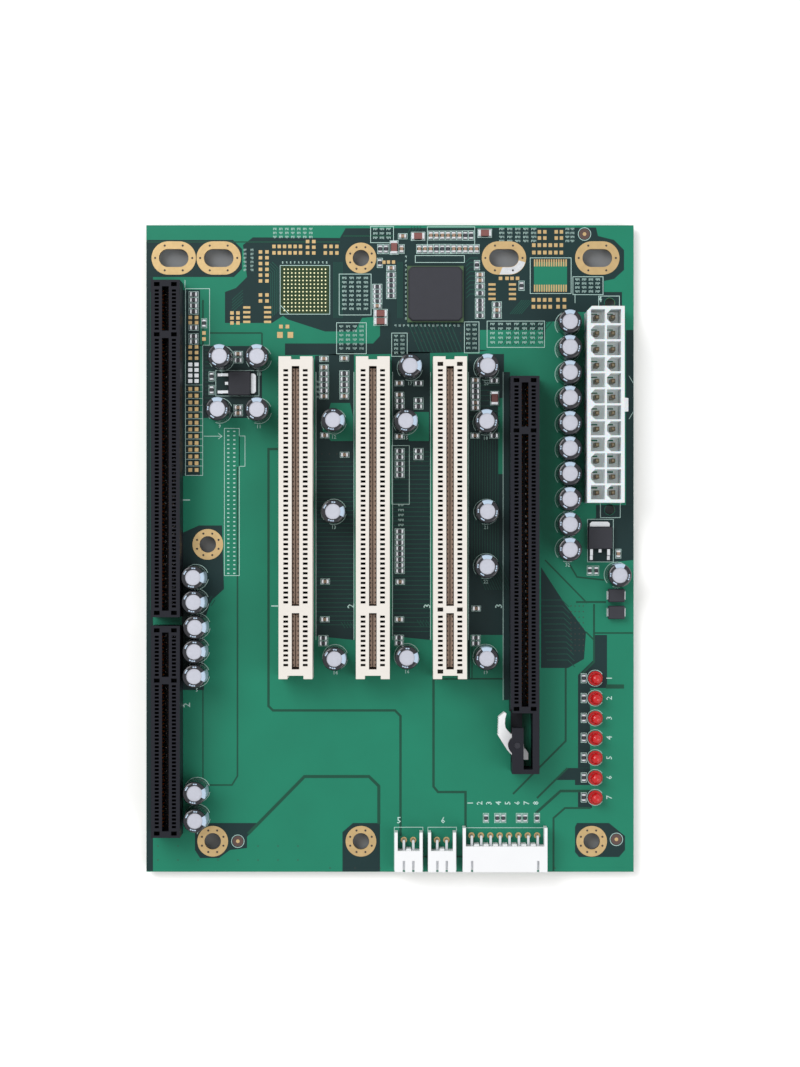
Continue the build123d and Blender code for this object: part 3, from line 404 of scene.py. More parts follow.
# %% Where small parts are
def shells(name):
    bm = bmesh.new()
    bm.from_mesh(nodes[name].data)
    bmesh.ops.remove_doubles(bm, verts=bm.verts, dist=0.001 * mm)
    left = dict.fromkeys(bm.verts)
    found = []
    while left:
        reach = [left.popitem()[0]]
        shell = []
        while reach:
            vert = reach.pop()
            shell.append(vert.co / mm)
            for edge in vert.link_edges:
                other = edge.other_vert(vert)
                if other in left:
                    del left[other]
                    reach.append(other)
        low = Vector(map(min, zip(*shell)))
        high = Vector(map(max, zip(*shell)))
        feet = [co for co in shell if co.z < low.z + 0.05]
        foot = sum(feet, Vector((0, 0, 0))) / len(feet)
        found.append((low, high, foot))
    bm.free()
    return found


print("capacitors", len(shells("capacitor_sleeves")))

# %% [markdown]
# ## Dark fields
# Where a layer has no copper, the lacquer is dark. These fields lie round the holes, under the rows of
# small components and between the slots. Beside the capacitors at the left, along the board's left edge and
# at the graphics slot's left side, the same dark also stands for shade: painted shade on bare laminate. A
# field that holds a bolt hole is cut out inside the hole's land.

# %% Holes that fields leave free
ROUND_HOLES = [(-7.75, 77.5), (-7.75, -78.1), (-47.3, -78.1), (53.8, -78.1), (-48.6, 1.1)]
OVAL_HOLES = [(-57.7, 77.5), (-45.7, 77.5), (30.4, 77.5), (55.3, 77.5)]
SPARE_HOLES = [(58.6, 65.45), (58.6, 10.35)]
LAND_CUT_RADIUS = 3.2
SPARE_CUT_RADIUS = 1.5
OVAL_HALF_STRAIGHT = 1.55


def cut_outline(x, y, radius, corners, start=0.0, straight=0.0):
    angles = [(k + start) * math.tau / corners for k in range(corners)]
    return [(x + math.copysign(straight, math.cos(a)) + radius * math.cos(a), y + radius * math.sin(a))
            for a in angles]


cut_outs = [cut_outline(x, y, LAND_CUT_RADIUS, 24) for x, y in ROUND_HOLES]
cut_outs += [cut_outline(x, y, SPARE_CUT_RADIUS, 16) for x, y in SPARE_HOLES]
cut_outs += [cut_outline(x, y, LAND_CUT_RADIUS, 24, 0.5, OVAL_HALF_STRAIGHT) for x, y in OVAL_HOLES]


def inside(point, outline):
    x, y = point
    crossings = 0
    for (x0, y0), (x1, y1) in zip(outline, outline[1:] + outline[:1]):
        if (y0 > y) != (y1 > y) and x < x0 + (y - y0) / (y1 - y0) * (x1 - x0):
            crossings += 1
    return crossings % 2 == 1


def add_field(bm, outline, heights):
    add_sheet(bm, outline, [cut for cut in cut_outs if inside(cut[0], outline)], heights)


print("cut-outs", len(cut_outs))

# %% The fields, read off the photograph
dark_fields = [
    [(146.5, 240), (233, 240), (242, 249), (242, 269), (234, 277), (146.5, 277)],
    [(243, 245), (253, 237.4), (340, 238), (345.6, 228.3), (596, 227.5), (598, 236), (614, 240),
     (624, 250), (624, 270), (614, 279), (604, 281), (604, 292), (622, 292), (622, 312), (573, 312),
     (573, 320), (546, 322), (545, 340), (478, 352), (340, 355), (285, 355), (285, 343.5), (373, 343.5),
     (380, 336), (380, 323), (373, 317), (362, 318), (355, 331.5), (325, 331.5), (288, 319.5),
     (283, 316), (272, 323), (225, 323), (225, 292), (236, 288), (247, 277)],
    [(183, 290), (200, 290), (200, 476), (183, 476)],
    [(203, 346), (262, 346), (262, 418), (203, 418)],
    [(315, 356), (354, 352), (354, 640), (315, 636)],
    [(391.5, 352), (430, 352), (430, 640), (391.5, 636)],
    [(468, 354), (504, 354), (504, 679), (468, 679)],
    # bare laminate with painted shade beside the capacitors at the left
    [(182, 533), (199, 525.5), (222, 525.5), (224, 589), (211, 601), (204, 622), (204, 690), (182, 690)],
    [(195, 823), (258, 823), (247, 837), (247, 848), (230, 850), (219, 858), (200, 858), (195, 850)],
    [(342.5, 832), (353, 823), (380, 823), (380, 871.5), (342.5, 871.5)],
    [(577, 823), (609, 823), (625, 836), (625, 850), (619, 857), (579, 857), (575, 852), (575, 827)],
    [(541, 567), (565, 604), (586, 632), (584, 659), (568, 668), (541, 668)],
    [(593.5, 635), (607, 635), (607, 688), (590, 688), (590, 767.9), (578, 767.9), (578, 675), (593.5, 660)],
    [(556, 780), (568, 768), (590, 768), (590, 785), (575, 785), (575, 780)],
    [(578, 790), (592, 790), (592, 808), (578, 808)],
    [(596, 505), (633.5, 505), (633.5, 560), (614, 562), (588, 562), (588, 520), (596, 518)],
    # the next two strips, along the board's left edge and the graphics slot's left side, are painted shade on
    # bare laminate
    [(146.5, 277.1), (153, 277.1), (153, 871), (146.5, 871)],
    [(504, 372), (510, 372), (510, 700), (504, 700)],
    [(626, 330), (633.5, 330), (633.5, 504.9), (626, 504.9)],
]
bm = bmesh.new()
for outline in dark_fields:
    add_field(bm, places(outline), ZONE)
finish_piece("bare_laminate_and_painted_shade_fields", bm, laminate_and_shade_lacquer)

# %% [markdown]
# ## Copper islands and gaps
# Inside the dark fields some islands of copper stay, such as the bright field under the wide empty chip
# footprint. They are laid a little higher than the dark field, which is simpler than cutting it out there.

# %% Copper islands
islands = [
    [(534, 262), (567, 262), (567, 291), (534, 291)],
    [(331, 403), (350, 403), (353, 416), (353, 441), (331, 441), (322, 430)],
    [(411, 412), (429, 412), (429, 441), (409, 441), (407, 430)],
    [(498, 398), (503.5, 398), (503.5, 474), (498, 474)],
    [(470, 635), (503.5, 635), (503.5, 678), (470, 678)],
    [(480, 330), (543, 330), (543, 350), (480, 350)],
]
bm = bmesh.new()
for outline in islands:
    add_field(bm, places(outline), PATCH)
finish_piece("copper_islands", bm, lacquer_on_copper)

# %% [markdown]
# The empty footprint for a chip on solder balls has a fine mesh of copper below it. At this distance mesh
# and laminate blend to an olive green, so one plain sheet of that colour stands for both.

# %% Field of the ball footprint
bm = bmesh.new()
add_field(bm, places([(281, 266), (329, 266), (329, 314), (281, 314)]), PATCH)
finish_piece("ball_footprint_field", bm, lacquer_in_footprint)

# %% [markdown]
# Copper areas of different voltages are kept apart by narrow gaps, which show as thin dark lines with
# corners cut at 45 degrees. A gap could be cut from the copper. A raised dark line looks the same from above.

# %% Gaps between copper areas
gaps = [
    ([(237.5, 467), (237.5, 776), (232, 785), (207, 785)], 0.4),
    ([(203, 690), (203, 782)], 0.3),
    ([(278, 449), (268.5, 449), (268.5, 706), (273, 710.4), (395, 710.4), (400.5, 716), (400.5, 836)], 0.62),
    ([(248, 834), (304.5, 776.5), (369, 776.5), (378.8, 786), (378.8, 824)], 0.8),
    ([(433.5, 679), (433.5, 786.5), (438, 792), (465.5, 792), (465.5, 828)], 0.62),
    ([(565.7, 668), (565.7, 741), (513, 794)], 0.5),
    ([(567.5, 768), (537, 798)], 0.5),
    ([(588, 791), (560.5, 791), (536, 813)], 0.7),
    ([(590.5, 808), (565, 808), (553.5, 818), (553.5, 871)], 0.5),
    ([(576, 602), (606, 602)], 0.5), ([(594, 604), (594, 662), (582, 674)], 0.5),
    ([(594, 633), (633, 633)], 0.4), ([(606, 686.5), (624, 686.5)], 1.1),
    ([(545, 560), (587, 603)], 0.4), ([(586, 632), (594, 640)], 0.4),
    ([(564, 555), (577, 577), (604, 580)], 0.4),
    ([(147, 242), (340, 242)], 0.3), ([(343, 236), (393, 236)], 0.3),
    ([(203, 300), (203, 346)], 0.4), ([(209, 333), (262, 333)], 0.4), ([(262, 333), (262, 356)], 0.4),
    ([(423.4, 856.5), (427, 856.5)], 0.5), ([(456.8, 856.5), (465, 856.5)], 0.5),
    ([(504, 679), (433.5, 679)], 0.3), ([(472, 637), (472, 678)], 0.3),
]
bm = bmesh.new()
for points, width in gaps:
    add_line(bm, places(points), width, TRACE)
finish_piece("copper_gaps", bm, lacquer_in_gap)

# %% [markdown]
# ## Traces
# Between the slots the signals cross in flat parallel lines, each a raised hair under the lacquer. Other
# bundles fan out from the chip and from the graphics slot. Every bundle is a first line, a step and a count,
# which is shorter and truer than drawing each line by hand.

# %% Bundles of traces
TRACE_WIDTH = 0.2
bundles = [
    ([(315.5, 462), (353.5, 462)], (0, 4.4), 38), ([(392, 452), (429.5, 452)], (0, 4.6), 40),
    ([(472, 440), (472, 560), (486, 590)], (2.6, 0), 11), ([(470, 380), (500, 380)], (0, 5.2), 9),
    ([(541, 600), (562, 600), (569, 607)], (0.6, 6.0), 11),
    ([(408, 322), (420, 352)], (4.2, 0), 11), ([(520, 322), (500, 345)], (4.0, 0), 9),
    ([(403, 240), (412, 226.5)], (3.0, 0), 4), ([(398, 262), (398, 318)], (2.0, 0), 3),
    ([(272, 262), (278, 268), (278, 312)], (-1.8, 1.5), 5),
    ([(334, 262), (334, 318)], (2.0, 0), 5), ([(232, 300), (243, 290)], (0, 3), 5),
    ([(466, 262), (470, 258), (478, 258)], (0, 4.5), 9), ([(522, 300), (510, 314)], (2.2, 0), 6),
    ([(205, 350), (212, 350)], (0, 4.0), 16), ([(208, 602), (212, 596)], (1.5, 2.0), 3),
    ([(350, 622), (354, 628)], (-3.0, 0), 4), ([(426, 620), (430, 626)], (-3.0, 0), 4),
    ([(152, 292), (152, 610)], (-1.5, 0), 2),
]
bm = bmesh.new()
for points, (step_x, step_y), count in bundles:
    for i in range(count):
        shifted = [(px + i * step_x, py + i * step_y) for px, py in points]
        add_line(bm, places(shifted), TRACE_WIDTH, TRACE)
finish_piece("signal_traces", bm, lacquer_on_trace)

# %% [markdown]
# ## Bare pads
# Footprints with no component show their gold. They are placed in rows and columns with a count and a step,
# as the layout program of the board would do it. Each row of the list has a grid, a width and a length.

# %% Gold pads
def grid(px, py, columns, rows, step_x, step_y):
    return [place(px + i * step_x, py + j * step_y) for i in range(columns) for j in range(rows)]


pad_groups = [
    (grid(260.5, 252, 2, 6, 6.5, 5.8), 0.95, 0.9), (grid(260.5, 295, 2, 2, 6.5, 6), 0.95, 0.9),
    (grid(274, 246.5, 6, 2, 5.3, 6.4), 0.9, 0.95), (grid(307.6, 241.6, 2, 3, 6.2, 5.7), 0.95, 0.9),
    (grid(325.3, 246.5, 3, 2, 5.8, 6.5), 0.9, 0.95), (grid(232, 313, 2, 3, 6, 5), 0.95, 0.9),
    (grid(281, 326.6, 2, 1, 6.4, 0), 1.0, 1.0), (grid(280, 335, 2, 1, 10.4, 0), 1.5, 1.6),
    (grid(190.3, 317.5, 2, 2, 6.3, 5.2), 0.95, 0.9), (grid(190.3, 347, 2, 3, 6.3, 5.6), 0.95, 0.9),
    (grid(190.3, 389, 2, 13, 6.3, 6.75), 1.0, 1.0), (grid(204, 333, 1, 2, 0, 6), 0.95, 0.95),
    (grid(388.5, 262.1, 2, 1, 5, 0), 0.85, 0.9), (grid(384, 262.3, 1, 1, 0, 0), 0.85, 0.9),
    (grid(539.4, 231.9, 2, 2, 5.4, 6.2), 0.9, 0.95), (grid(556.2, 231.9, 2, 2, 5.2, 6.2), 0.9, 0.95),
    (grid(533.8, 245.2, 6, 2, 5.5, 7.4), 0.95, 1.0), (grid(533.4, 299.9, 4, 2, 5.6, 6.9), 0.95, 1.0),
    (grid(558, 299.9, 2, 2, 6.4, 6.9), 0.95, 1.0), (grid(500.5, 278.4, 2, 1, 6.5, 0), 0.95, 0.9),
    (grid(512, 278.4, 2, 1, 5.5, 0), 0.95, 0.9),
    (grid(246.8, 307.5, 2, 4, 20.8, 4.8), 1.9, 0.62), (grid(492, 284.5, 2, 4, 20.4, 4.8), 1.9, 0.62),
    (grid(534.6, 262.9, 14, 2, 2.42, 25.4), 0.38, 1.9),
]
bm = bmesh.new()
for spots, width, length in pad_groups:
    for x, y in spots:
        add_block(bm, x, y, width, length, PAD)
finish_piece("bare_gold_pads", bm, gold)

# %% [markdown]
# The footprint for the chip on solder balls has twelve by twelve round pads, one millimetre apart. Their
# gold is thin and pale. One round stamp of eight sides is enough for a pad of less than half a millimetre.

# %% Ball pads
BALL_ROWS = 12
BALL_PITCH = 1.0
BALL_MIDDLE = (-22.7, 69.0)
BALL_PAD_RADIUS = 0.21
ball_pad = spun_stamp([(0, PAD[1]), (BALL_PAD_RADIUS, PAD[1]), (BALL_PAD_RADIUS, PAD[0]), (0, PAD[0])], 8)
bm = bmesh.new()
for i in range(BALL_ROWS):
    for j in range(BALL_ROWS):
        add_spun(bm, BALL_MIDDLE[0] + (i - (BALL_ROWS - 1) / 2) * BALL_PITCH,
                 BALL_MIDDLE[1] + (j - (BALL_ROWS - 1) / 2) * BALL_PITCH, ball_pad)
finish_piece("ball_pads", bm, pale_gold)

# %% [markdown]
# Eight pads beside the long slot were tinned and left empty. They are the gold pads' shape in solder.

# %% Tinned pads
bm = bmesh.new()
for x, y in grid(190.3, 364.5, 2, 4, 6.3, 5.5):
    add_block(bm, x, y, 1.1, 1.0, PAD)
finish_piece("tinned_pads", bm, solder)

# %% [markdown]
# ## Round marks
# Each land is stitched to the layers below by small holes, which look like dark dots. Real holes so small
# would only cost faces, since nobody sees into them, so each is a flat dark disc: painted shade of the hole.

# %% Stitching holes
STITCH_RADIUS = 0.3
STITCH_RING = 3.1
STITCHES = 8
land_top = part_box("mounting_hole_lands")[1].z / mm
bm = bmesh.new()
dot = spun_stamp([(0, land_top + 0.012), (STITCH_RADIUS, land_top + 0.012), (STITCH_RADIUS, land_top - 0.03),
                  (0, land_top - 0.03)], 8)
for x, y in ROUND_HOLES:
    for k in range(STITCHES):
        angle = (k + 0.5) * math.tau / STITCHES
        add_spun(bm, x + STITCH_RING * math.cos(angle), y + STITCH_RING * math.sin(angle), dot)
for x, y in OVAL_HOLES:
    for dx, dy in ((-4.95, 0), (4.95, 0), (-2.4, 3.3), (2.4, 3.3), (-2.4, -3.3), (2.4, -3.3)):
        add_spun(bm, x + dx, y + dy, dot)
VIA_RADIUS = 0.16
via = spun_stamp([(0, TRACE[1]), (VIA_RADIUS, TRACE[1]), (VIA_RADIUS, TRACE[0]), (0, TRACE[0])], 6)
for px, py, columns, rows, step_x, step_y in (
        (571, 606, 4, 9, 4.1, 5.6), (158, 846, 8, 2, 20, 14), (330, 868, 10, 1, 25, 0),
        (322, 454, 5, 2, 7.5, 8), (398, 454, 4, 2, 8, 8), (470, 360, 3, 9, 9, 8), (402, 325, 12, 3, 6.5, 8)):
    for x, y in grid(px, py, columns, rows, step_x, step_y):
        add_spun(bm, x, y, via)
finish_piece("stitching_holes", bm, painted_hole_shade)

# %% [markdown]
# One oval land was touched by solder at its lower right, and is silver there. A thin sheet of solder in the
# shape of that part of the land lies on it.

# %% Tinned part of a land
cx, cy = OVAL_HOLES[2]
turns = [math.radians(a) for a in range(-90, -14, 15)]
outer_side = [(cx - 1.2, cy - 4.4)] + [(cx + 1.47 + 4.38 * math.cos(a), cy + 4.38 * math.sin(a)) for a in turns]
inner_side = [(cx - 0.4, cy - 2.5)] + [(cx + 1.55 + 2.5 * math.cos(a), cy + 2.5 * math.sin(a)) for a in turns]
bm = bmesh.new()
add_sheet(bm, outer_side + inner_side[::-1], [], (land_top - 0.02, land_top + 0.008))
finish_piece("tinned_land_part", bm, solder)

# %% [markdown]
# The bent pins of the front headers go down into round gold rings. The spin of a small closed rectangle
# gives such a ring, and each pin's lowest point says where it goes.

# %% Rings round the pins
def ring_profile(inner, outer_edge, heights):
    return [(inner, heights[0]), (outer_edge, heights[0]), (outer_edge, heights[1]), (inner, heights[1]),
            (inner, heights[0])]


pin_ring = spun_stamp(ring_profile(0.45, 0.85, PAD), 14)
bm = bmesh.new()
for name in ("voltage_tap_header_pins", "power_button_header_pins", "reset_button_header_pins"):
    for low, high, foot in shells(name):
        add_spun(bm, foot.x, foot.y, pin_ring)
finish_piece("pin_rings", bm, gold)

# %% [markdown]
# Three small gold dots let the placing machine find the board. Each sits in a round window without copper
# or lacquer, where the bare laminate is brown.

# %% Placing targets and their windows
TARGET_RADIUS = 0.5
WINDOW_RADIUS = 1.45
targets = [(51.9, 83.9), (-40.6, -78.1), (60.4, -77.6)]
target = spun_stamp([(0, PAD[0]), (TARGET_RADIUS, PAD[0]), (TARGET_RADIUS, PRINT[0]), (0, PRINT[0])], 12)
window = spun_stamp(ring_profile(TARGET_RADIUS - 0.05, WINDOW_RADIUS, (ZONE[1], PATCH[1])), 20)
bm = bmesh.new()
windows = bmesh.new()
for x, y in targets:
    add_spun(bm, x, y, target)
    add_spun(windows, x, y, window)
finish_piece("placing_targets", bm, gold)
finish_piece("target_windows", windows, finish("bare_brown_laminate", "4a3530", 0.6)[0])

# %% [markdown]
# ## Solder
# Every end of a chip component sits in a small wedge of solder on its pad, and every pin is soldered from
# below in a cone. The pads come from the ends' own solids: each loose shell in the mesh is one end cap, so
# its corners say where the pad goes.

# %% Where the end caps are
ends = {name: shells(name) for name in nodes if name.endswith(("_ends", "_terminals"))}
print({name: len(found) for name, found in ends.items()})

# %% Solder under the chip components
SOLDER_MARGIN = 0.15
WEDGE_TOP = 0.78
WEDGE_INSET = 0.04
one_wedge = bmesh.new()
bmesh.ops.create_cube(one_wedge, size=1)
top_corners = [vert for vert in one_wedge.verts if vert.co.z > 0]
bmesh.ops.scale(one_wedge, vec=(WEDGE_TOP, WEDGE_TOP, 1), verts=top_corners)
WEDGE = as_stamp(one_wedge, "wedge_stamp")
bm = bmesh.new()
for name, found in ends.items():
    for low, high, foot in found:
        middle = (low + high) / 2
        width = high.x - low.x + 2 * SOLDER_MARGIN
        length = high.y - low.y + 2 * SOLDER_MARGIN
        add_block(bm, middle.x, middle.y, width, length, PAD)
        rise = middle.z - PAD[1]
        size = ((width - 2 * WEDGE_INSET) * mm, (length - 2 * WEDGE_INSET) * mm, rise * mm, 1)
        spot = Vector((middle.x, middle.y, PAD[1] - 0.01 + rise / 2)) * mm
        press(bm, WEDGE, Matrix.Translation(spot) @ Matrix.Diagonal(size))
finish_piece("chip_solder_wedges", bm, solder)

# %% [markdown]
# Tails and pins come through the board. Their lowest points are found in the same way, and each gets a
# cone of solder on the underside. The wide pins of the power header get wider cones.

# %% Solder cones on the underside
TAIL_CONE, LEAD_CONE, HEADER_CONE = 0.42, 0.62, 1.2
bm = bmesh.new()
tails = []
for name in nodes:
    if name.endswith(("_contacts", "_pins", "capacitor_leads", "lamp_leads", "regulator_leads")):
        tails += [(name, foot) for low, high, foot in shells(name) if foot.z < UNDERSIDE]
tip = min(foot.z for name, foot in tails)
cones = {radius: spun_stamp([
    (0, tip + 0.1), (0.36 * radius, tip + 0.2), (0.55 * radius, UNDERSIDE - 0.4),
    (radius, UNDERSIDE - 0.05), (radius, UNDERSIDE - 0.01), (0, UNDERSIDE - 0.01)], 8)
    for radius in (TAIL_CONE, LEAD_CONE, HEADER_CONE)}
for name, foot in tails:
    radius = TAIL_CONE if name.endswith("_contacts") else LEAD_CONE
    if name == "power_header_pins":
        radius = HEADER_CONE
    add_spun(bm, foot.x, foot.y, cones[radius])
finish_piece("underside_solder_cones", bm, solder)
print("tails", len(tails))

# %% [markdown]
# ## Contact rows in the white slots
# The contacts bend towards each other a little below the rim, and their two rows nearly fill the slit. From
# above they read as one brown bar with a dark dot at each contact. The brown is the contacts' gold in the
# slit's shade, so the bars' colour is partly painted shade, and the dark dots are painted shade of the gaps
# that lead down into the cavities. Two bars and their dots give that with few faces. Where the bars start
# and end comes from the contacts, with a gap at the slot's key.

# %% Rows and dots
# The rows' brown is bronze with painted shade, and the dots' dark is painted shade.
shaded_row_bronze = finish("brown_contact_row_painted_shade", "8d7768", 0.6, tone=0.15, tone_mm=1.5)[0]
contact_gap_shade = finish("shaded_contact_gap", "3a2c25", 0.7)[0]
ROW_BELOW_RIM = (2.3, 1.6)
KEY_GAP = 2.0
bm = bmesh.new()
dots = bmesh.new()
for count, (low, high) in enumerate(slot_boxes):
    middle = (low.x + high.x) / 2 / mm
    level = tuple(high.z / mm - depth for depth in ROW_BELOW_RIM)
    spots = [(a.y + b.y) / 2 for a, b, foot in shells(f"expansion_slot_{count + 1}_contacts")]
    lines = sorted({round(y, 2) for y in spots})
    runs = [[lines[0]]]
    for y in lines[1:]:
        if y - runs[-1][-1] < KEY_GAP:
            runs[-1].append(y)
        else:
            runs.append([y])
    for run in runs:
        for side in (-1, 1):
            length = run[-1] - run[0] + 1.1
            add_block(bm, middle + side * 0.47, (run[0] + run[-1]) / 2, 0.72, length, level)
            for y in run:
                add_block(dots, middle + side * 0.62, y, 0.3, 0.5, (level[1] - 0.1, level[1] + 0.02))
finish_piece("contact_rows", bm, shaded_row_bronze)
finish_piece("contact_row_shade_dots", dots, contact_gap_shade)

# %% [markdown]
# ## The capacitors' print
# Each capacitor's black film carries a pale blue stripe at its negative lead, from the rolled shoulder down
# the side, and a few small marks. They could be a pattern in the film's shader, but it would have to know
# which way each of the 33 is turned. So a stripe is a short part of a turn of a thin band that follows the
# film. The two leads say which way the capacitor is turned.

# %% Stripes and marks on the film
def band_stamp(profile, angle, steps):
    bm = bmesh.new()
    corners = [bm.verts.new((r * mm, 0, z * mm)) for r, z in profile]
    band = bm.faces.new(corners)
    bmesh.ops.spin(bm, geom=[*corners, *band.edges, band], axis=(0, 0, 1), angle=math.radians(angle),
                   steps=steps)
    return as_stamp(bm, "band_stamp")


def add_band(bm, x, y, stamp, start):
    press(bm, stamp, Matrix.Translation(Vector((x, y, 0)) * mm) @ Matrix.Rotation(math.radians(start), 4, "Z"))


sleeves = shells("capacitor_sleeves")
leads = [foot for low, high, foot in shells("capacitor_leads")]
rim = sleeves[0][1].z
outer = (sleeves[0][1].x - sleeves[0][0].x) / 2
base = sleeves[0][0].z
FOLD = 1.05
STRIPE_ANGLE = 56
skin = [(outer - FOLD, rim - 0.02), (outer - FOLD, rim + 0.03), (outer - 0.43, rim + 0.03),
        (outer - 0.12, rim - 0.12), (outer + 0.03, rim - 0.43), (outer + 0.03, base + 0.5),
        (outer - 0.01, base + 0.5), (outer - 0.01, rim - 0.46), (outer - 0.17, rim - 0.17),
        (outer - 0.46, rim - 0.02)]
mark = [(outer - 0.78, rim - 0.02), (outer - 0.78, rim + 0.02), (outer - 0.46, rim + 0.02),
        (outer - 0.46, rim - 0.02)]
ring = ring_profile(outer + 0.22, outer + 0.38, PRINT)[:4]
stripe_band = band_stamp(skin, STRIPE_ANGLE, 5)
long_mark = band_stamp(mark, 26, 3)
short_mark = band_stamp(mark, 10, 1)
left_ring = band_stamp(ring, 200, 12)
right_ring = band_stamp(ring, 100, 6)
bm = bmesh.new()
rings = bmesh.new()
capacitors = []
for low, high, foot in sleeves:
    x, y = (low.x + high.x) / 2, (low.y + high.y) / 2
    pair = [lead for lead in leads if math.hypot(lead.x - x, lead.y - y) < outer]
    stripe = 0 if abs(pair[0].x - pair[1].x) > abs(pair[0].y - pair[1].y) else 90
    capacitors.append((x, y))
    add_band(bm, x, y, stripe_band, stripe - STRIPE_ANGLE / 2)
    add_band(bm, x, y, long_mark, stripe + 135)
    for start in (75, 88, 240, 254, 267):
        add_band(bm, x, y, short_mark, stripe + start)
    add_band(rings, x, y, left_ring, 20)
    add_band(rings, x, y, right_ring, 250)
finish_piece("capacitor_stripes", bm, stripe_film)

# %% [markdown]
# ## White print
# The print marks each part's outline: rings for the round parts and boxes for connectors and chip
# components. Ink lies on the lacquer as a thin film, so each outline is a flat frame: a sheet with a hole.
# The places of the boxes are read off the photograph, as left, top, right, bottom.

# %% Box outlines
BOX_LINE = 0.15
THIN_LINE = 0.12


def box_corners(x0, y0, x1, y1, grow):
    return [(x0 - grow, y0 - grow), (x1 + grow, y0 - grow), (x1 + grow, y1 + grow), (x0 - grow, y1 + grow)]


def add_box_outline(bm, x0, y0, x1, y1, width, lift=0.0):
    inner = box_corners(x0, y0, x1, y1, -width / 2)
    add_sheet(bm, box_corners(x0, y0, x1, y1, width / 2), [inner], (PRINT[0], PRINT[1] + lift))


print_boxes = [
    (280.2, 265.5, 329.8, 314.2), (185.5, 288.7, 209.6, 345.2), (185.5, 345.2, 202.7, 475.4),
    (224.4, 428.4, 239.3, 575.6), (239.3, 436, 245.0, 466.3), (370.6, 226.4, 393.5, 242.7),
    (339.2, 274.1, 371.1, 315.0), (336.6, 322.8, 366.3, 353.8), (392, 445.6, 409.3, 504.2),
    (587.5, 519.3, 613.3, 561.9), (600.4, 502.8, 620.2, 517.6), (598.7, 296.1, 619.4, 306.4),
    (427.4, 226.9, 474.7, 252), (415.3, 255.6, 464.4, 262.5), (530.2, 257.9, 571.1, 293.5),
    (487.1, 321.1, 544.5, 347.4), (572.9, 276.8, 603, 294.7), (464.4, 321.9, 479, 352.9),
    (391.7, 333.1, 407.2, 356.4), (394.3, 827.2, 422.9, 870), (427.9, 827.2, 456.4, 870),
    (465.4, 827.7, 544.3, 870), (215.8, 370.5, 259, 396),
]
for px0, py0, px1, py1 in print_boxes:
    x0, y1 = place(px0, py0)
    x1, y0 = place(px1, py1)
    add_box_outline(rings, x0, y0, x1, y1, BOX_LINE)
print("boxes", len(print_boxes))

# %% Outlines of the chip components
SIDE_MARGIN, END_MARGIN = 0.32, 0.75
chip_bodies = [shell for name in nodes if name.endswith(("resistor_bodies", "capacitor_bodies"))
               for shell in shells(name)]
for count, (low, high, foot) in enumerate(chip_bodies):
    across = high.x - low.x > high.y - low.y
    margin_x, margin_y = (END_MARGIN, SIDE_MARGIN) if across else (SIDE_MARGIN, END_MARGIN)
    add_box_outline(rings, low.x - margin_x, low.y - margin_y, high.x + margin_x, high.y + margin_y,
                    THIN_LINE, LINE_LIFT * (count % 7 + 1))
print("chip components", len(chip_bodies))

# %% Rings round the lamps
lamp_ring = band_stamp(ring_profile(2.1, 2.25, PRINT)[:4], 300, 14)
for low, high, foot in shells("indicator_lamp_lenses"):
    add_band(rings, (low.x + high.x) / 2, (low.y + high.y) / 2, lamp_ring, 30)
print("lamp rings", len(shells("indicator_lamp_lenses")))

# %% Lines
print_lines = [
    ([(203.7, 436.2), (222, 436.2), (218.5, 433.4)], 0.15), ([(222, 436.2), (218.5, 439)], 0.15),
    ([(316, 372), (316, 640)], 0.15), ([(353.9, 372), (353.9, 640)], 0.15),
    ([(392.5, 372), (392.5, 640)], 0.15), ([(430.5, 372), (430.5, 640)], 0.15),
    ([(468.5, 372), (468.5, 640)], 0.15), ([(503.1, 372), (503.1, 700)], 0.15),
    ([(280.2, 305), (289, 314.2)], 0.15),
    ([(185, 280), (185, 288)], 0.15), ([(575, 303), (575, 294)], 0.15),
    ([(633.2, 383), (629, 376)], 0.12), ([(633.2, 412), (629, 419)], 0.12),
]
for points, width in print_lines:
    add_line(rings, places(points), width, PRINT)
for i in range(13):
    add_line(rings, places([(185.5, 385 + 6.75 * i), (202.7, 385 + 6.75 * i)]), THIN_LINE, PRINT)
for i in range(34):
    for px in (227.2, 233.2):
        add_line(rings, places([(px, 431.4 + 4.3 * i), (px + 2.2, 431.4 + 4.3 * i)]), 0.3, PRINT)
print("lines", len(print_lines))

# %% [markdown]
# Between the parts the print has rows of fine marks, too small to make out from where the camera stands.
# Short upright strokes of two heights give the same grey texture and say nothing.

# %% Rows of fine marks
STROKE_STEP = 0.27
STROKE_WIDTH = 0.11
TALL_STROKE = 0.62
SHORT_STROKE = 0.4
mark_rows = [
    (342, 278, 4, 8, 7.2, 4.4, 4.6), (339, 326.5, 4, 6, 6.8, 4.4, 4.4), (490, 324, 7, 5, 8, 4.6, 5),
    (575, 279.5, 4, 4, 6.8, 4, 4.6), (466, 325, 2, 6, 6.4, 4.6, 4.4), (394, 336, 2, 5, 6.4, 4.2, 4.2),
    (273, 229, 7, 3, 6, 4, 3.6), (373, 229, 3, 3, 6.6, 4.4, 4.6), (243.5, 250, 2, 6, 7, 4, 3),
    (499, 229, 5, 4, 8, 4, 5.4), (565.4, 229, 2, 4, 5, 4, 4), (398, 505, 1, 8, 6, 5, 6),
    (282, 262.5, 12, 1, 4, 4, 1.4), (394.4, 325.6, 16, 1, 4.2, 4, 2.2), (405, 256.8, 1, 15, 4, 4.4, 1.8),
    (316.5, 382, 1, 4, 6, 5, 5), (355.5, 395, 1, 3, 5, 5, 5),
]
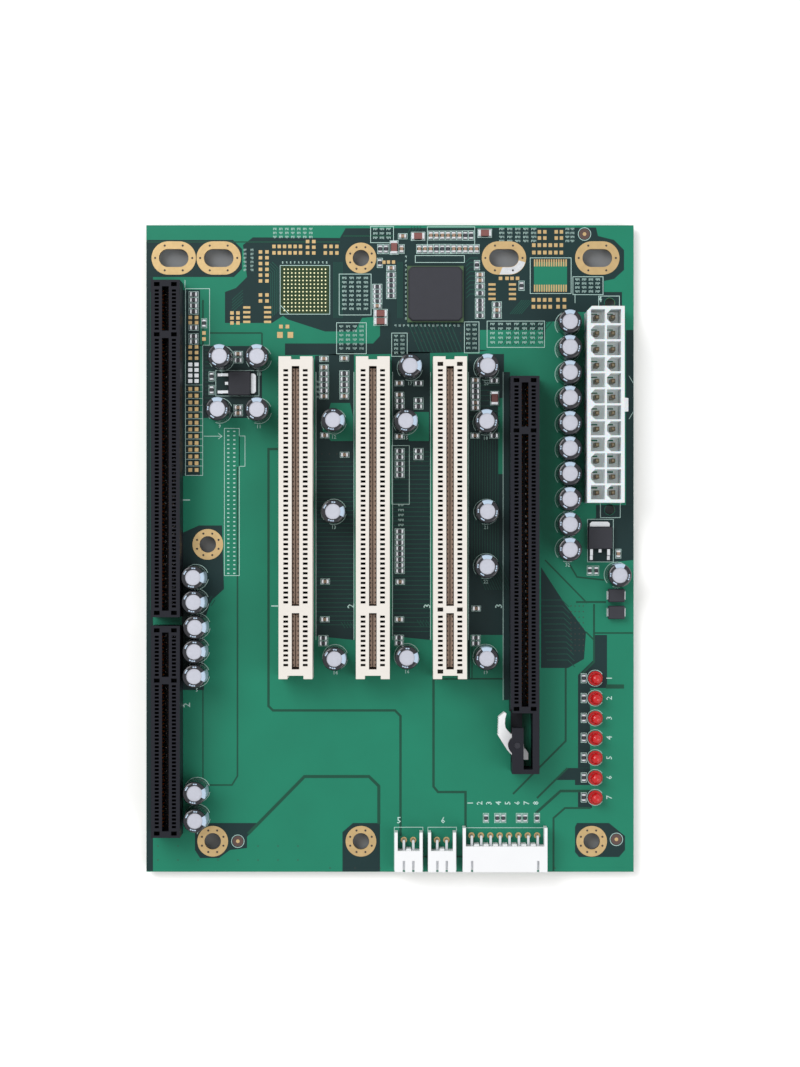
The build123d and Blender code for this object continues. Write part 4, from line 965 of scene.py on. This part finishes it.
for *rows_of_marks, length in mark_rows:
    for x, y in grid(*rows_of_marks):
        width = length / PIXELS_PER_MM
        strokes = max(2, round(width / STROKE_STEP))
        for k in range(strokes):
            tall = SHORT_STROKE if (k + round(x + y)) % 3 == 1 else TALL_STROKE
            stroke_x = x + width * (k + 0.5) / strokes
            add_block(rings, stroke_x, y + (TALL_STROKE - tall) / 2, STROKE_WIDTH, tall, PRINT)
print("rows of marks", len(mark_rows))

# %% Rings round the targets
target_ring = spun_stamp(ring_profile(1.62, 1.76, PRINT), 20)
for x, y in targets:
    add_spun(rings, x, y, target_ring)
finish_piece("printed_outlines", rings, ink)

# %% [markdown]
# Plain numbers stand beside the parts. Blender sets them as type, which is then turned into a mesh and laid
# on the board before its doubles are merged. Drawing each digit by hand would give no better shape.

# %% Setting a number
TYPE_SIZE = 1.4
TYPE_WEIGHT = 0.02


def add_number(bm, text, x, y, height, turn=0.0):
    curve = bpy.data.curves.new("digits", "FONT")
    curve.body = text
    curve.size = height * TYPE_SIZE * mm
    curve.resolution_u = 1
    curve.extrude = 0.5 * (PRINT[1] - PRINT[0]) * mm
    curve.offset = TYPE_WEIGHT * mm
    curve.align_x = "CENTER"
    curve.align_y = "CENTER"
    typed = bpy.data.objects.new("digits", curve)
    bpy.context.scene.collection.objects.link(typed)
    bpy.context.view_layer.update()
    mesh = bpy.data.meshes.new_from_object(typed)
    spot = Vector((x, y, (PRINT[0] + PRINT[1]) / 2)) * mm
    mesh.transform(Matrix.Translation(spot) @ Matrix.Rotation(math.radians(turn), 4, "Z"))
    bm.from_mesh(mesh)
    bpy.data.objects.remove(typed)
    bpy.data.meshes.remove(mesh)
    bpy.data.curves.remove(curve)


print("type is set at", TYPE_SIZE, "times the height of its digits")

# %% Plain numbers
SMALL, MIDDLE, FRONT, LARGE = 0.95, 1.5, 1.7, 1.9
bm = bmesh.new()
for count, (x, y) in enumerate(sorted(capacitors, key=lambda spot: (round(spot[0]), -spot[1]))):
    add_number(bm, str(count + 1), x, y - outer - 1.1, SMALL)
for count, (low, high, foot) in enumerate(sorted(shells("indicator_lamp_lenses"), key=lambda s: -s[0].y)):
    add_number(bm, str(count + 1), high.x + 1.9, (low.y + high.y) / 2, MIDDLE, 90)
for count in range(8):
    add_number(bm, str(count + 1), *place(470.5 + 9.36 * count, 803), MIDDLE, 90)
slot_number_y = place(0, 606)[1]
for count, (low, high) in enumerate(slot_boxes):
    add_number(bm, str(count + 1), low.x / mm - 1.4, slot_number_y, LARGE, 90)
for text, px, py, height, turn in (
        ("1", 187, 500, LARGE, 90), ("2", 187, 705, LARGE, 90), ("3", 499, 606, LARGE, 90),
        ("4", 600, 299.5, MIDDLE, 0), ("5", 399, 820.5, FRONT, 0), ("6", 443, 820.5, FRONT, 0)):
    add_number(bm, text, *place(px, py), height, turn)
bmesh.ops.dissolve_degenerate(bm, dist=NUMBER_WELD, edges=bm.edges)
finish_piece("printed_numbers", bm, ink)

# %% [markdown]
# ## Camera, floor and light
# The photograph was taken from straight above, so the camera looks down its own axis, from far off, and a
# long lens keeps the slots' sides out of sight.

# %% Camera
CAMERA_PLACE = (2.67, 4.0)
CAMERA_HEIGHT = 750.0
FOCAL_PIXELS = 2811.0
IMAGE_HEIGHT = 1067.0
camera_data = bpy.data.cameras.new("photo_camera")
camera_data.sensor_fit = "VERTICAL"
camera_data.sensor_height = 36.0
camera_data.lens = FOCAL_PIXELS / IMAGE_HEIGHT * camera_data.sensor_height
camera_data.clip_start = 0.01
camera = bpy.data.objects.new("photo_camera", camera_data)
camera.location = Vector((*CAMERA_PLACE, CAMERA_HEIGHT + SURFACE)) * mm
bpy.context.scene.collection.objects.link(camera)
bpy.context.scene.camera = camera
print("lens", round(camera_data.lens, 1), "mm")

# %% [markdown]
# The floor is white paper, and seen by the camera it glows a little, as an overexposed sheet does. The sky
# is white where it is seen, or mirrored in metal, and dimmer as a light, so that the board's own colours
# come out as they are written. One function tells the two kinds of ray apart for both.

# %% Floor
def background_ray(tree):
    ray = add_node(tree, "ShaderNodeLightPath")
    mirrored = add_node(tree, "ShaderNodeMath", {
        0: ray.outputs["Is Glossy Ray"], 1: ray.outputs["Is Transmission Ray"]}, operation="MAXIMUM")
    return add_node(tree, "ShaderNodeMath", {0: ray.outputs["Is Camera Ray"], 1: mirrored.outputs[0]},
                    operation="MAXIMUM").outputs[0]


PAPER_GLOW = 0.06
FLOOR_HALF = 3.0
floor_material = bpy.data.materials.new("white_paper_floor")
floor_material.use_nodes = True
tree = floor_material.node_tree
tree.nodes.clear()
paper = add_node(tree, "ShaderNodeBsdfDiffuse", {"Color": linear("fcfcfc")})
glow = add_node(tree, "ShaderNodeEmission", {"Color": linear("ffffff"), "Strength": PAPER_GLOW})
both = add_node(tree, "ShaderNodeAddShader", {0: paper.outputs[0], 1: glow.outputs[0]})
seen = add_node(tree, "ShaderNodeMixShader", {
    0: background_ray(tree), 1: paper.outputs[0], 2: both.outputs[0]})
add_node(tree, "ShaderNodeOutputMaterial", {"Surface": seen.outputs[0]})
bm = bmesh.new()
bmesh.ops.create_grid(bm, x_segments=1, y_segments=1, size=FLOOR_HALF)
floor_mesh = bpy.data.meshes.new("floor")
bm.to_mesh(floor_mesh)
bm.free()
floor_mesh.materials.append(floor_material)
floor = bpy.data.objects.new("floor", floor_mesh)
bpy.context.scene.collection.objects.link(floor)
print("floor", 2 * FLOOR_HALF, "m wide")

# %% [markdown]
# An even sky and a large soft lamp to the upper left give light with hardly any shadow. A weaker lamp
# opposite keeps the shadows of the tall slots pale.

# %% Sky and lamps
SKY_LIGHT = 0.6
world = bpy.data.worlds.new("studio_sky")
world.use_nodes = True
tree = world.node_tree
sky = tree.nodes["Background"]
sky.inputs["Color"].default_value = linear("ffffff")
sky_level = add_node(tree, "ShaderNodeMath", {0: background_ray(tree), 1: 1 - SKY_LIGHT, 2: SKY_LIGHT},
                     operation="MULTIPLY_ADD")
tree.links.new(sky_level.outputs[0], sky.inputs["Strength"])
bpy.context.scene.world = world
for name, spot, size, power in (
        ("key_lamp", (-0.7, 0.6, 1.1), 0.9, 14), ("fill_lamp", (0.8, -0.5, 0.9), 1.0, 6)):
    lamp_data = bpy.data.lights.new(name, "AREA")
    lamp_data.size = size
    lamp_data.energy = power
    lamp = bpy.data.objects.new(name, lamp_data)
    lamp.location = spot
    lamp.rotation_euler = (-Vector(spot)).to_track_quat("-Z", "Y").to_euler()
    bpy.context.scene.collection.objects.link(lamp)
bpy.context.scene.view_settings.view_transform = "Standard"
print("lamps", len(bpy.data.lights))

# %% [markdown]
# Seen through its holes, the board lies on a mid grey, which is the shade under the board. A grey card a
# little smaller than the board lies under it and gives the holes that tone: painted shade. It is part of the
# stage, as the floor is.

# %% Grey card under the board
CARD_MARGIN = 3 * mm
CARD_THICKNESS = 0.1 * mm
low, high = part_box("circuit_board")
card_place = Matrix.Translation(((low.x + high.x) / 2, (low.y + high.y) / 2, 0.0))
card_size = Matrix.Diagonal((
    high.x - low.x - 2 * CARD_MARGIN, high.y - low.y - 2 * CARD_MARGIN, CARD_THICKNESS, 1))
bm = bmesh.new()
bmesh.ops.create_cube(bm, size=1, matrix=card_place @ card_size)
card_mesh = bpy.data.meshes.new("grey_card")
bm.to_mesh(card_mesh)
bm.free()
# the card's grey is painted shade seen through the board's holes
card_mesh.materials.append(finish("grey_card_painted_shade", "7e8389", 0.8, grain_mm=1.0)[0])
card = bpy.data.objects.new("grey_card", card_mesh)
bpy.context.scene.collection.objects.link(card)
print("card laid")

# %% The end of the scene
print("scene ready")
